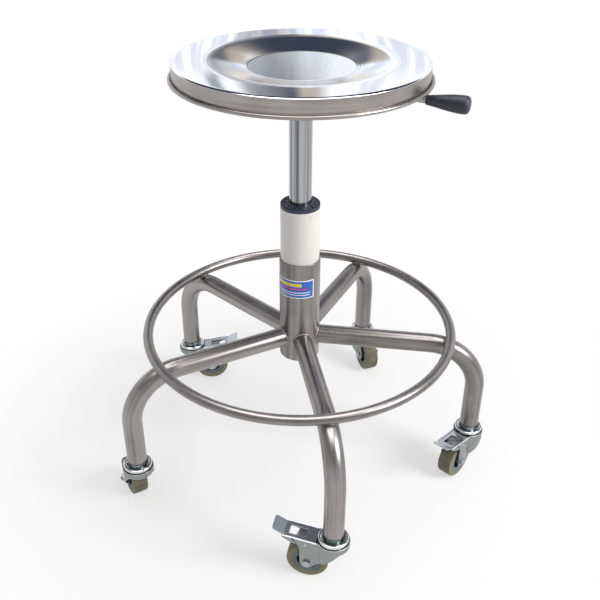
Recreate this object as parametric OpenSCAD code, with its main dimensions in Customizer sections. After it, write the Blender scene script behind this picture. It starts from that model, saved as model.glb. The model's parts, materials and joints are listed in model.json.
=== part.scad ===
/* [Seat] */
// Diameter of the seat pan over its skirt
seat_d = 292.4; // [260:0.2:330]
// Height of the seat's rim above the floor, gas spring fully out
seat_z = 568; // [550:1:600]
// Thickness of the seat's sheet steel
pan_t = 1.2; // [0.8:0.1:2]
// Depth of the dish, from the rim down to the flat middle
dish_depth = 8; // [3:0.5:12]
// Radius of the flat disc in the middle of the dish
dish_floor_r = 59; // [50:1:75]
// Inner radius of the flat ring round the dish
dish_edge_r = 106; // [90:1:120]
// Width over which the dish's slope eases into the flat at each end
dish_ease = 5; // [2:0.5:10]
// Height of the skirt from the rim to the middle of the rolled edge
skirt_h = 19.2; // [16:0.2:26]
// Radius of the rolled edge's own round section
bead_r = 2.2; // [1.5:0.1:3]
// Thickness of the backing disc under the middle of the seat
backing_t = 3; // [2:0.5:5]
// Radius of the backing disc
backing_r = 56; // [52:1:58]

/* [Seat plate and lever] */
// Side of the square plate that the seat is bolted to
plate_w = 84; // [78:1:96]
// Thickness of that plate
plate_t = 3; // [2:0.5:4]
// Distance of each seat stud from the middle, along X and along Y
stud_pitch = 31; // [28:0.5:33]
// Diameter of the seat studs
stud_d = 6; // [5:1:8]
// Outside diameter of the socket that takes the gas spring
socket_d = 36; // [34:0.5:40]
// Length of the socket
socket_h = 30; // [24:1:34]
// Diameter of the lever's round bar
lever_d = 8; // [6:0.5:9]
// Height of the lever's outer arm above the floor, below the rim
lever_drop = 34.5; // [32:0.5:38]
// Distance from the column's axis to the lever's pivot pin
lever_pivot_x = 31; // [29:0.5:33]
// Distance from the column's axis to the lever's crank
lever_crank_x = 50; // [46:0.5:54]
// Turn of the lever's outer arm from the X axis
lever_turn = -23.7; // [-30:0.1:-15]
// Distance from the crank to the near end of the knob
knob_from_crank = 96; // [90:1:110]
// Length of the lever's knob
knob_len = 49; // [40:1:60]
// Diameter of the knob's thin end
knob_d1 = 10.8; // [10.2:0.2:12]
// Diameter of the knob's thick end
knob_d2 = 20.5; // [18:0.5:24]
// Diameter of the lever's pivot pin
lever_pin_d = 5; // [4:0.5:6]

/* [Gas spring] */
// Outside diameter of the polished pressure tube
tube_d = 28; // [26:0.5:30]
// Wall of the pressure tube
tube_wall = 1.3; // [1:0.1:2]
// Length of the pressure tube that stays in the column when it is fully out
tube_engage = 74; // [66:1:78]
// Travel of the gas spring
stroke = 105; // [80:1:107]
// Diameter of the piston rod
rod_d = 10; // [8:0.5:12]
// Outside diameter of the white column
column_d = 50; // [48:0.5:52]
// Wall of the column
column_wall = 1.5; // [1.2:0.1:2]
// Height of the column's top edge above the floor
column_top = 386.8; // [380:0.2:400]
// Height of the black flange on top of the column
flange_h = 5.4; // [4:0.2:8]
// Length of the guide bush inside the column
bush_len = 80; // [76:1:90]
// Number of slots in the top of the flange
slot_count = 16; // [8:1:24]

/* [Base] */
// Height of the hub's top edge above the floor
hub_top = 315.5; // [300:0.5:330]
// Height of the hub's bottom edge above the floor
hub_bottom = 169; // [160:0.5:175]
// Wall of the hub tube
hub_wall = 1.5; // [1.2:0.1:3]
// Height of the ledge inside the hub that the column stands on
ledge_h = 4; // [3:0.5:6]
// Outside diameter of the legs
leg_d = 25.4; // [22:0.2:28]
// Wall of the legs
leg_wall = 1.5; // [1.2:0.1:2.5]
// Radius of the circle that the casters swivel on
leg_reach = 242; // [230:1:260]
// Height of the middle of the legs' level part above the floor
leg_z = 199; // [195:0.5:205]
// Radius of each leg's bend, to its middle
leg_bend = 66; // [58:1:70]
// Height of the legs' open ends above the floor
leg_end_z = 72; // [71:0.5:78]
// Turn of the first leg from the X axis
first_leg = -79.9; // [-90:0.1:-70]
// Radius of the foot ring, to the middle of its tube
ring_r = 202; // [198:0.5:206]
// Diameter of the foot ring's tube
ring_d = 13; // [10:0.5:16]
// Wall of the foot ring's tube
ring_wall = 1.5; // [1:0.1:2]
// Depth that the ring is let into the top of each leg
ring_let_in = 1.2; // [0.4:0.1:1.3]

/* [Label] */
// Height of the label on the hub
label_h = 26; // [20:1:30]
// Height of the label's middle above the floor
label_z = 281; // [270:1:290]
// Width of the label, measured round the hub
label_w = 60; // [50:1:66]
// Turn of the label's middle from the X axis
label_turn = -113; // [-120:1:-90]
// Thickness of the label
label_t = 0.25; // [0.2:0.05:0.5]

/* [Caster wheels] */
// Diameter over the tyre
wheel_d = 52; // [50:0.5:54]
// Width of the tyre
tyre_w = 20; // [18:0.5:21]
// Thickness of the tyre
tyre_t = 7.5; // [5:0.5:9]
// Diameter of the axle bolt
axle_d = 6; // [5:0.5:8]
// Distance from the swivel axis back to the axle of a caster with a brake
trail_braked = 30; // [28:0.5:32]
// Distance from the swivel axis back to the axle of a caster without a brake
trail_plain = 23; // [22:0.5:26]

/* [Caster forks] */
// Clear width inside the fork
fork_gap = 23.6; // [23:0.2:28]
// Thickness of the fork's sheet steel
fork_t = 1.8; // [1.5:0.1:2.2]
// Outside radius of the fork's round nose
nose_r = 20.4; // [20:0.2:21]
// Radius of the fork's ends round the axle
fork_end_r = 8.5; // [7.5:0.5:10]
// Height of the top face of the fork's web above the floor
web_z = 55; // [54.6:0.2:55.6]
// Thickness of the fork's web
web_t = 2.5; // [2:0.1:3]
// Diameter of the stem where the fork turns on it
stem_d = 12; // [10:0.5:13]
// Outside diameter of the raceway cup
cup_d = 37.6; // [36:0.2:38]
// Thickness of the cup's rolled rim
cup_rim = 4.2; // [3:0.2:4.4]
// Height of the cup's rim
cup_h = 4.8; // [4.6:0.2:5.6]

/* [Brake pedals] */
// Slope of the pedal and of the fork's raised edges
pedal_slope = 8; // [6:0.5:10]
// Thickness of the pedal's plate
pedal_t = 1.6; // [1.2:0.1:2]
// Distance from the pedal's pivot back to the bend of its tab
pedal_back = 28; // [26:0.5:30]
// Distance from the pedal's pivot forward to its front edge
pedal_front = 12; // [10:0.5:12.2]
// Length of the tab
tab_len = 17; // [12:0.5:18]
// Angle between the tab and the pedal's plate
tab_angle = 21; // [15:1:40]
// Width of the window in the pedal
window_w = 12.8; // [10:0.2:16]
// Length of the window in the pedal
window_l = 22; // [16:0.5:23]
// Gap between the brake leaf and the tyre with the pedal up
leaf_gap = 3.2; // [3:0.1:4]
// Thickness of the brake leaf
leaf_t = 1.2; // [0.8:0.1:1.6]

/* [Hidden] */
// Radial clearance of every turning or sliding fit
fit = 0.05;
// Gap kept between parts that pass each other
gap = 0.3;
// Depth by which a cut runs past the face it opens
over = 1;
// Number of legs, each with its own caster
leg_count = 5;
$fn = 96;

seat_r = seat_d / 2;
bead_ring_r = seat_r + bead_r + 0.1;
bead_z = seat_z - skirt_h;
pan_under = seat_z - dish_depth - pan_t;
backing_under = pan_under - backing_t;
plate_top = backing_under;
plate_under = plate_top - plate_t;
stud_len = 12;
nut_h = 5;
nut_af = 10;

hub_d = column_d + 2 * fit + 2 * hub_wall;
hub_bore = column_d / 2 + fit;
column_bottom = hub_bottom + ledge_h;
column_bore = column_d / 2 - column_wall;
floor_z = column_bottom + 6;
floor_t = 3;
bush_r = column_bore;
flange_r = column_d / 2 - 0.2;
lip_r = tube_d / 2 + 2.2;

// The gas spring, worked out from the seat down and from the column up
lever_room = 2.8;
lever_fall = 1.7;
socket_top = plate_under - lever_room - lever_d - lever_fall;
socket_bottom = socket_top - socket_h;
cone_slope = 0.026;
tube_r = tube_d / 2;
tube_bore = tube_r - tube_wall;
tube_cone_r = tube_r - cone_slope * socket_h;
tube_top = socket_top - 1;
tube_bottom = column_top - tube_engage;
tube_cap_h = 14;
guide_h = 12;
piston_h = 14;
piston_gap = 2;
piston_z = tube_bottom + guide_h + piston_gap;
race_h = 2.5;
ball_r = 2;
ball_count = 10;
rod_end_d = 7;
race_r = 13;
ball_ring_r = rod_d / 2 + ball_r + 1.6;
race_top = floor_z + floor_t + race_h;
balls_top = race_top + 2 * ball_r + 0.04;
collar_h = 3;
// The rubber stop reaches up to where the tube ends at the bottom of its travel
stop_h = tube_bottom - stroke - gap - balls_top - collar_h;
clip_t = 1.6;
clip_r = 8;
release_d = 6;
release_stroke = 1.9;

// The lever
lever_in_z = plate_under - lever_room - lever_d / 2;
lever_out_z = seat_z - lever_drop;
lever_tip_x = -7;
boss_r = 6.2;
cheek_gap = 22;
cheek_t = 3;
cheek_foot = 6;
cheek_back = 18;
cheek_front = lever_pivot_x + 8;
release_top = lever_in_z - lever_d / 2 - gap;

// The legs and the foot ring
leg_r = leg_d / 2;
bend_x = leg_reach - leg_bend;
bend_z = leg_z - leg_bend;
ring_tube_r = ring_d / 2;
ring_hold = leg_bend + leg_r + ring_tube_r - ring_let_in;
ring_z = bend_z + sqrt(pow(ring_hold, 2) - pow(ring_r - bend_x, 2));

// The casters, drawn with the swivel axis on Z and the wheel towards +X
wheel_r = wheel_d / 2;
core_r = wheel_r - tyre_t;
fork_in = fork_gap / 2;
fork_out = fork_in + fork_t;
web_under = web_z - web_t;
nose_top = web_z + 5.6;
cup_r = cup_d / 2;
cup_mid = nose_top + 0.4 + cup_h / 2;
cup_floor = 2;
cup_floor_z = web_z + 5;
neck_r = stem_d / 2;
edge_x = 61;
edge_z = web_z + 12.5;
edge_start = 15.5;
pivot_x = trail_braked + 2;
pivot_z = wheel_d + 4.5;
pivot_d = 4;
pedal_w = fork_gap - 2 * gap;
ear_t = 1.2;
// Height of the pedal's upper face over its pivot, square to its slope
pedal_top = (edge_z - pivot_z) * cos(pedal_slope)
    - (edge_x - pivot_x) * sin(pedal_slope) - 0.9;
window_x = 0;
leaf_w = window_w - 1;
leaf_bend_x = 11;
leaf_bend = 80;
caster_turns = [168, 227.9, 289, 4.7, 120];
// Which casters have a brake: those at the front, at the right and at the back left
braked = [true, true, false, true, false];

// A round bar or tube standing on height z, with a bore where one is given
module ring(r, bore, h, z = 0) {
    translate([0, 0, z]) difference() {
        cylinder(r = r, h = h);
        if (bore > 0) translate([0, 0, -over]) cylinder(r = bore, h = h + 2 * over);
    }
}

// A hexagonal bar measured across its flats
module hexagon(across, h) {
    cylinder(r = across / 2 / cos(30), h = h, $fn = 6);
}

// Places its children at the swivel axis of one caster, wheel side towards +X
module at_caster(k) {
    rotate([0, 0, first_leg + 360 / leg_count * k])
        translate([leg_reach, 0, 0])
            rotate([0, 0, caster_turns[k] - first_leg - 360 / leg_count * k])
                children();
}

// Height of the seat's upper face at radius r: a straight slope, eased into the flats
function dish_z(r) =
    let (
        fall = dish_depth / (dish_edge_r - dish_floor_r - dish_ease),
        down = max(dish_edge_r - r, 0),
        up = max(r - dish_floor_r, 0)
    )
    down < dish_ease ? seat_z - fall * down * down / (2 * dish_ease) :
    up < dish_ease ? seat_z - dish_depth + fall * up * up / (2 * dish_ease) :
    seat_z - fall * (down - dish_ease / 2);

// The pressed seat: a dished top, a straight skirt and a rolled bottom edge
module seat_pan() {
    steps = 4;
    rim_round = 1;
    slope = concat(
        [for (i = [0:steps]) dish_floor_r + dish_ease * i / steps],
        [for (i = [steps:-1:0]) dish_edge_r - dish_ease * i / steps]);
    top = [for (r = slope) [r, dish_z(r)]];
    under = [for (i = [len(slope) - 1:-1:0]) [slope[i], dish_z(slope[i]) - pan_t]];
    corner = [for (a = [90:-22.5:0])
        [seat_r - rim_round + rim_round * cos(a), seat_z - rim_round + rim_round * sin(a)]];
    hem = bead_z - bead_r + 0.6;
    color("gainsboro") {
        rotate_extrude() polygon(concat(
            [[0, seat_z - dish_depth]], top, corner,
            [[seat_r, hem + pan_t], [bead_ring_r, hem + pan_t], [bead_ring_r, hem],
             [seat_r - pan_t, hem], [seat_r - pan_t, seat_z - pan_t]],
            under, [[0, pan_under]]));
        rotate_extrude() translate([bead_ring_r, bead_z]) circle(r = bead_r);
    }
}

// Places its children at the four seat studs
module at_studs() {
    for (x = [-stud_pitch, stud_pitch], y = [-stud_pitch, stud_pitch])
        translate([x, y, 0]) children();
}

// The disc welded under the seat, with its four threaded studs
module seat_backing_disc() {
    color("darkgray") {
        ring(backing_r, 0, backing_t, backing_under);
        at_studs() ring(stud_d / 2, 0, stud_len, backing_under - stud_len);
    }
}

// The four flanged nuts that hold the seat to the plate
module seat_nuts() {
    color("silver") at_studs() translate([0, 0, plate_under - nut_h]) difference() {
        union() {
            hexagon(nut_af, nut_h);
            ring(nut_af * 0.62, 0, 1.2, nut_h - 1.2);
        }
        translate([0, 0, -over]) cylinder(d = stud_d, h = nut_h + 2 * over);
    }
}

// The plate with the tapered socket for the gas spring and the lever's two cheeks,
// and a dimple that the lever's inner arm comes to rest under
module seat_plate() {
    bore_top = tube_cone_r + fit;
    bore_bottom = tube_r + fit;
    dimple = lever_room - gap;
    dimple_r = 4;
    color("dimgray") difference() {
        union() {
            translate([-plate_w / 2, -plate_w / 2, plate_under]) cube([plate_w, plate_w, plate_t]);
            ring(socket_d / 2, 0, socket_h, socket_bottom);
            translate([lever_tip_x + dimple_r, 0, 0])
                ring(dimple_r, 0, dimple + over, plate_under - dimple);
            for (side = [-1, 1])
                translate([-cheek_back, side * (cheek_gap + cheek_t) / 2 - cheek_t / 2,
                        socket_top - cheek_foot])
                    cube([cheek_back + cheek_front, cheek_t,
                        plate_under - socket_top + cheek_foot]);
        }
        translate([0, 0, socket_bottom - over])
            cylinder(r1 = bore_bottom + cone_slope * over, r2 = bore_top - cone_slope * over,
                h = socket_h + 2 * over);
        translate([lever_pivot_x, 0, lever_in_z]) rotate([90, 0, 0])
            cylinder(d = lever_pin_d, h = cheek_gap + 4 * cheek_t, center = true);
        at_studs() translate([0, 0, plate_under - over])
            cylinder(d = stud_d, h = plate_t + 2 * over);
    }
}

// The pin through the cheeks that the lever rocks on, with a head at each end
module lever_pin() {
    long = cheek_gap + 2 * cheek_t;
    head = 1.6;
    color("silver") translate([lever_pivot_x, 0, lever_in_z]) rotate([90, 0, 0]) {
        cylinder(d = lever_pin_d, h = long, center = true);
        for (side = [-1, 1])
            translate([0, 0, side * (long + head) / 2])
                cylinder(d = lever_pin_d + 3, h = head, center = true);
    }
}

// A straight stretch of round bar from one point to another
module bar(from, to, d) {
    run = to - from;
    flat = norm([run[0], run[1]]);
    translate(from) rotate([0, atan2(flat, run[2]), atan2(run[1], run[0])])
        cylinder(d = d, h = norm(run));
}

// The lever: an inner arm over the release pin, a boss on the pivot and a cranked outer arm
module lever_rod() {
    tip = [lever_tip_x, 0, lever_in_z];
    crank = [lever_crank_x, 0, lever_in_z];
    outward = [cos(lever_turn), sin(lever_turn), 0];
    drop_run = 16;
    thicker = 1;
    low = [lever_crank_x, 0, lever_out_z] + outward * drop_run;
    last = [lever_crank_x, 0, lever_out_z] + outward * (knob_from_crank + knob_len - 8);
    past = 3.5 * (low - crank) / norm(low - crank);
    color("silver") difference() {
        union() {
            bar(tip, crank, lever_d);
            bar(crank - past, low + past, lever_d + thicker);
            bar(low, last, lever_d);
            translate([lever_pivot_x, 0, lever_in_z]) rotate([90, 0, 0])
                cylinder(r = boss_r, h = cheek_gap - 2 * gap, center = true);
        }
        translate([lever_pivot_x, 0, lever_in_z]) rotate([90, 0, 0])
            cylinder(r = lever_pin_d / 2 + fit, h = cheek_gap + over, center = true);
    }
}

// The moulded knob: it swells to its thick end, which is round
module lever_knob() {
    swell = knob_len * 0.68;
    end_round = 4;
    thick = knob_d2 / 2;
    thin = knob_d1 / 2;
    end = [for (a = [0:15:90])
        [thick - end_round + end_round * cos(a), knob_len - end_round + end_round * sin(a)]];
    color([0.12, 0.13, 0.18])
        translate([lever_crank_x, 0, lever_out_z]) rotate([0, 90, lever_turn])
            translate([0, 0, knob_from_crank]) difference() {
                rotate_extrude() polygon(concat(
                    [[0, 0], [thin - 0.6, 0], [thin, 0.6],
                     [thin + (thick - thin) * 0.42, swell * 0.5],
                     [thick - 0.5, swell]], end, [[0, knob_len]]));
                translate([0, 0, -over]) cylinder(d = lever_d, h = knob_len - 8 + over);
            }
}

// The polished tube that carries the seat, closed at its tapered top
module pressure_tube() {
    straight = socket_bottom - tube_bottom;
    color("lightsteelblue") difference() {
        union() {
            ring(tube_r, 0, straight, tube_bottom);
            translate([0, 0, socket_bottom])
                cylinder(r1 = tube_r, r2 = tube_r - cone_slope * (tube_top - socket_bottom),
                    h = tube_top - socket_bottom);
        }
        ring(tube_bore, 0, tube_top - tube_cap_h - tube_bottom + over, tube_bottom - over);
        ring(release_d / 2 + fit, 0, tube_cap_h + 2 * over, tube_top - tube_cap_h - over);
    }
}

// The packing that closes the tube's lower end round the rod
module rod_guide() {
    color("black") ring(tube_bore, rod_d / 2 + fit, guide_h, tube_bottom);
}

// The pin that opens the valve when the lever presses it down
module release_pin() {
    low = tube_top - tube_cap_h + release_stroke + 1;
    color("silver") ring(release_d / 2, 0, release_top - low, low);
}

// The rod that stands in the column, stepped to pass through its floor
module piston_rod() {
    foot = floor_z - clip_t - 3;
    color("whitesmoke") {
        ring(rod_d / 2, 0, piston_z + piston_h - balls_top, balls_top);
        ring(race_r, 0, collar_h, balls_top);
        ring(rod_end_d / 2, 0, balls_top - foot, foot);
    }
}

// The piston on the rod's upper end
module piston_head() {
    color("gray") ring(tube_bore - fit, rod_d / 2, piston_h, piston_z);
}

// The thrust bearing's ring of balls in their cage, one piece as it is handled
module bearing_balls() {
    cage_h = 1.6;
    color("silver") difference() {
        union() {
            ring(race_r - 0.4, 0, cage_h, race_top + ball_r - cage_h / 2 + 0.02);
            for (k = [0:ball_count - 1])
                rotate([0, 0, 360 / ball_count * k])
                    translate([ball_ring_r, 0, race_top + ball_r + 0.02]) sphere(r = ball_r);
        }
        ring(rod_end_d / 2 + fit, 0, 8 * ball_r, race_top - 2 * ball_r);
    }
}

// The race that lies on the column's floor
module bearing_race() {
    color("silver") ring(race_r, rod_end_d / 2 + fit, race_h, floor_z + floor_t);
}

// The rubber ring that the tube lands on at the bottom of its travel
module bump_stop() {
    color("black") ring(rod_d / 2 + 4.5, rod_d / 2, stop_h, balls_top + collar_h);
}

// The clip that keeps the rod from lifting out of the column's floor
module retaining_clip() {
    color("silver") ring(clip_r, rod_end_d / 2, clip_t, floor_z - clip_t - fit);
}

// The white column: a tube with a floor near its lower end
module outer_column() {
    color("ivory") difference() {
        ring(column_d / 2, 0, column_top - column_bottom, column_bottom);
        ring(column_bore, 0, column_top - floor_z - floor_t + over, floor_z + floor_t);
        ring(column_bore, 0, floor_z - column_bottom + over, column_bottom - over);
        ring(rod_end_d / 2 + fit, 0, floor_t + 4 * over, floor_z - 2 * over);
    }
}

// The black guide bush, with a slotted flange that shows on top of the column
module guide_bush() {
    slot = [2.2, 4.4, 2.6];
    slot_r = (lip_r + flange_r) / 2;
    step = 1;
    color([0.16, 0.17, 0.24]) difference() {
        union() {
            ring(bush_r, 0, bush_len, column_top - bush_len);
            ring(flange_r, 0, flange_h - step, column_top);
            ring(flange_r - step, 0, flange_h, column_top);
        }
        ring(tube_r + fit, 0, bush_len + flange_h + 2 * over, column_top - bush_len - over);
        for (k = [0:slot_count - 1])
            rotate([0, 0, 360 / slot_count * k])
                translate([slot_r - slot[1] / 2, -slot[0] / 2, column_top + flange_h - slot[2]])
                    cube([slot[1], slot[0], slot[2] + over]);
    }
}

// The hub: a brushed tube with a ledge at its foot
module hub_tube() {
    color("darkgray") {
        ring(hub_d / 2, hub_bore, hub_top - hub_bottom, hub_bottom);
        ring(hub_bore + hub_wall / 2, hub_bore - 5, ledge_h, hub_bottom);
    }
}

// The thin label that wraps round the hub, on a film of glue
module hub_label() {
    span = label_w / (hub_d / 2) * 180 / PI;
    glue_t = 0.05;
    color("royalblue") rotate([0, 0, label_turn - span / 2])
        translate([0, 0, label_z - label_h / 2]) rotate_extrude(angle = span)
            translate([hub_d / 2 + glue_t, 0]) square([label_t, label_h]);
}

// The middle line of a leg, swept with a round section of radius r
module leg_run(r, extra) {
    translate([leg_reach, 0, leg_end_z - extra]) cylinder(r = r, h = bend_z - leg_end_z + extra);
    translate([bend_x, 0, bend_z]) rotate([90, 0, 0])
        rotate_extrude(angle = 90) translate([leg_bend, 0]) circle(r = r);
    rotate([0, 90, 0]) translate([-leg_z, 0, 0]) cylinder(r = r, h = bend_x);
}

// A leg: a bent tube, shaped to the hub at one end and let in a little for the ring
module leg(k) {
    color("darkgray") rotate([0, 0, first_leg + 360 / leg_count * k]) difference() {
        leg_run(leg_r, 0);
        leg_run(leg_r - leg_wall, over);
        ring(hub_d / 2, 0, 3 * leg_d, leg_z - 1.5 * leg_d);
        translate([0, 0, ring_z]) rotate_extrude(angle = 360)
            translate([ring_r, 0]) circle(r = ring_tube_r);
    }
}

// The foot ring: one closed hoop of thin tube
module foot_ring() {
    color("darkgray") translate([0, 0, ring_z]) rotate_extrude()
        translate([ring_r, 0]) difference() {
            circle(r = ring_tube_r);
            circle(r = ring_tube_r - ring_wall);
        }
}

// The threaded plugs in the legs' lower ends
module leg_plugs() {
    plug_h = 30;
    color("gray") for (k = [0:leg_count - 1])
        at_caster(k) ring(leg_r - leg_wall, neck_r, plug_h, leg_end_z);
}

// The stems: a stud in the leg, a hexagon, a collar and a boss on the cup's floor, and a neck
// for the fork with a riveted head
module caster_stems() {
    head_h = 2.6;
    head_top = web_under - gap;
    head_r = neck_r + 3.4;
    stud_h = 26;
    hex_h = 2;
    collar_t = 2;
    across = 20;
    boss_d = 19;
    cup_top = cup_floor_z + cup_floor;
    collar_z = leg_end_z - hex_h - collar_t;
    color("silver") for (k = [0:leg_count - 1]) at_caster(k) {
        ring(neck_r, 0, leg_end_z + stud_h - head_top, head_top);
        ring(head_r, 0, head_h, head_top - head_h);
        ring(boss_d / 2, 0, collar_z - cup_top, cup_top);
        ring(leg_r - 0.7, 0, collar_t, collar_z);
        translate([0, 0, leg_end_z - hex_h]) hexagon(across, hex_h);
    }
}

// The dished raceway cups with their thick rolled rims
module raceway_cups() {
    rim_r = cup_rim / 2;
    straight = cup_h - cup_rim;
    mid_r = cup_r - rim_r;
    color("lightgray") for (k = [0:leg_count - 1]) at_caster(k) rotate_extrude() {
        translate([neck_r, cup_floor_z]) square([mid_r - neck_r, cup_floor]);
        translate([mid_r - rim_r, cup_mid - straight / 2]) square([cup_rim, straight]);
        for (side = [-1, 1])
            translate([mid_r, cup_mid + side * straight / 2]) circle(r = rim_r);
    }
}

// The ball rings that the forks turn on, each drawn as one ring
module swivel_bearings() {
    play = 0.1;
    outer = 13.4;
    color("silver") for (k = [0:leg_count - 1])
        at_caster(k) ring(outer, neck_r, cup_floor_z - web_z - play, web_z + play);
}

// Outline of the fork from above, grown or shrunk by its second value
module fork_plan(half, round_r) {
    circle(r = round_r);
    translate([0, -half]) square([edge_x + 20, 2 * half]);
}

// Outline of the nose and the lobes of a fork from the side, for an axle at trail, up to a point
// behind the axle and a point on the nose's top edge
module fork_sweep(trail, back, top) {
    nose_low = [-11, web_under];
    reach = [trail, wheel_r] - nose_low;
    far = norm(reach);
    lean = atan2(reach[1], reach[0]) - asin(fork_end_r / far);
    touch = nose_low + sqrt(far * far - fork_end_r * fork_end_r) * [cos(lean), sin(lean)];
    translate([trail, wheel_r]) circle(r = fork_end_r);
    polygon([
        [-nose_r - over, web_under], nose_low, touch, [trail, wheel_r],
        [trail + fork_end_r, wheel_r], back, top, [-nose_r - over, nose_top]]);
}

// Outline of the side of a fork without a brake
module plain_side() {
    fork_sweep(trail_plain, [trail_plain + fork_end_r, wheel_r + 8], [edge_start + 5, nose_top]);
}

// Outline of the side of a fork with a brake, whose edges run back beside the pedal
module braked_side() {
    back_x = trail_braked + fork_end_r;
    // The lower edge behind the axle: a round corner, a slope to the lip and a steeper one
    lip_slope = 22;
    lip = [back_x + 13, web_z + 3.4];
    tip_z = edge_z - 3.5;
    cut_r = 6;
    cut_x = back_x + cut_r;
    cut = [cut_x, lip[1] - (lip[0] - cut_x) * tan(lip_slope) - cut_r / cos(lip_slope)];
    difference() {
        union() {
            fork_sweep(trail_braked, [back_x, edge_z - 10], [edge_start, nose_top]);
            polygon([
                [back_x, wheel_r], [edge_x, wheel_r], [edge_x, edge_z],
                [edge_start + 1, edge_z - (edge_x - edge_start - 1) * tan(pedal_slope)],
                [edge_start, nose_top], [edge_start, wheel_r + 20], [back_x - 3, wheel_r + 6]]);
        }
        translate(cut) circle(r = cut_r);
        translate([back_x, wheel_r - fork_end_r]) square([edge_x, cut[1] - wheel_r + fork_end_r]);
        polygon([
            cut, cut + cut_r * [-sin(lip_slope), cos(lip_slope)], lip, [edge_x, tip_z],
            [edge_x + over, tip_z], [edge_x + over, wheel_r], [cut_x, wheel_r]]);
    }
}

// A fork: a round-nosed channel of sheet steel whose sides run down to the axle
module fork(k) {
    tall = edge_z + 10;
    trail = braked[k] ? trail_braked : trail_plain;
    color("silver") at_caster(k) difference() {
        union() {
            intersection() {
                linear_extrude(tall) difference() {
                    fork_plan(fork_out, nose_r);
                    fork_plan(fork_in, nose_r - fork_t);
                }
                rotate([90, 0, 0]) translate([0, 0, -nose_r - over])
                    linear_extrude(2 * (nose_r + over))
                        if (braked[k]) braked_side(); else plain_side();
            }
            ring(nose_r - fork_t / 2, 0, web_t, web_under);
        }
        ring(neck_r + fit, 0, web_t + 2 * over, web_under - over);
        translate([trail, 0, wheel_r]) rotate([90, 0, 0])
            cylinder(d = axle_d, h = 4 * fork_out, center = true);
        if (braked[k]) translate([pivot_x, 0, pivot_z]) rotate([90, 0, 0])
            cylinder(r = pivot_d / 2 + fit, h = 4 * fork_out, center = true);
    }
}

// Places its children at the middle of a caster's axle
module at_axle(k) {
    at_caster(k) translate([braked[k] ? trail_braked : trail_plain, 0, wheel_r]) children();
}

// The axle bolt with its head and thread end, and the nut as a solid of its own. The bolts of
// the casters with brakes go in from the other side
module axle(k) {
    head_h = 3.6;
    nut_l = 4;
    thread = 2.4;
    side = 9;
    color("silver") at_axle(k) rotate([braked[k] ? 90 : -90, 0, 0]) {
        translate([0, 0, -fork_out]) cylinder(d = axle_d, h = 2 * fork_out + nut_l + thread);
        translate([0, 0, -fork_out - head_h]) hexagon(side, head_h);
        translate([0, 0, fork_out]) difference() {
            hexagon(side, nut_l);
            translate([0, 0, -over]) cylinder(d = axle_d, h = nut_l + 2 * over);
        }
    }
}

// The wheel's core: a long hub, a thin web and a wide rim
module wheel(k) {
    hub_half = fork_in - gap;
    rim_half = tyre_w / 2 - 0.5;
    web_half = 3;
    hub_r = axle_d / 2 + 3;
    rim_r = core_r - 6.5;
    bore = axle_d / 2 + fit;
    color("slategray") at_axle(k) rotate([90, 0, 0])
        rotate_extrude() polygon([
            [bore, -hub_half], [hub_r, -hub_half], [hub_r, -web_half], [rim_r, -web_half],
            [rim_r + 1, -rim_half], [core_r, -rim_half], [core_r, rim_half],
            [rim_r + 1, rim_half], [rim_r, web_half], [hub_r, web_half],
            [hub_r, hub_half], [bore, hub_half]]);
}

// The tyre: a flat tread with rounded shoulders
module tyre(k) {
    shoulder = 1.8;
    half = tyre_w / 2;
    outer = [for (a = [-90:15:90])
        [wheel_r - shoulder + shoulder * cos(a),
         (a < 0 ? -1 : 1) * (half - shoulder) + shoulder * sin(a)]];
    color([0.5, 0.48, 0.38]) at_axle(k) rotate([90, 0, 0])
        rotate_extrude() polygon(concat([[core_r, half], [core_r, -half]], outer));
}

// Places its children at the pedal's pivot, with +X along the pedal's slope
module at_pivot(k) {
    at_caster(k) translate([pivot_x, 0, pivot_z]) rotate([0, -pedal_slope, 0]) children();
}

// A pedal: a windowed plate with a bent-up tab and two ears that pivot in the fork
module pedal(k) {
    low = pedal_top - pedal_t;
    half = pedal_w / 2;
    ear_r = 4.6;
    tab_w = pedal_w - 0.8;
    corner = 3;
    color("silver") at_pivot(k) difference() {
        union() {
            translate([-pedal_front, -half, low]) cube([pedal_front + pedal_back, pedal_w, pedal_t]);
            translate([pedal_back - 0.6, 0, low]) rotate([0, -tab_angle, 0])
                linear_extrude(pedal_t) {
                    translate([0, -tab_w / 2]) square([tab_len - corner, tab_w]);
                    translate([tab_len - corner - 1, -tab_w / 2 + corner])
                        square([corner + 1, tab_w - 2 * corner]);
                    for (side = [-1, 1])
                        translate([tab_len - corner, side * (tab_w / 2 - corner)])
                            circle(r = corner);
                }
            for (side = [-1, 1]) {
                translate([0, side * (half - ear_t / 2), 0]) rotate([90, 0, 0]) {
                    cylinder(r = ear_r, h = ear_t, center = true);
                    translate([-ear_r, 0, -ear_t / 2]) cube([2 * ear_r, low + 0.5, ear_t]);
                }
                translate([0, side * (half + fork_t / 2 + gap / 2), 0]) rotate([90, 0, 0])
                    cylinder(d = pivot_d, h = fork_t + gap + 0.6, center = true);
            }
        }
        translate([window_x, -window_w / 2, low - over])
            cube([window_l, window_w, pedal_t + 2 * over]);
    }
}

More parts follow.
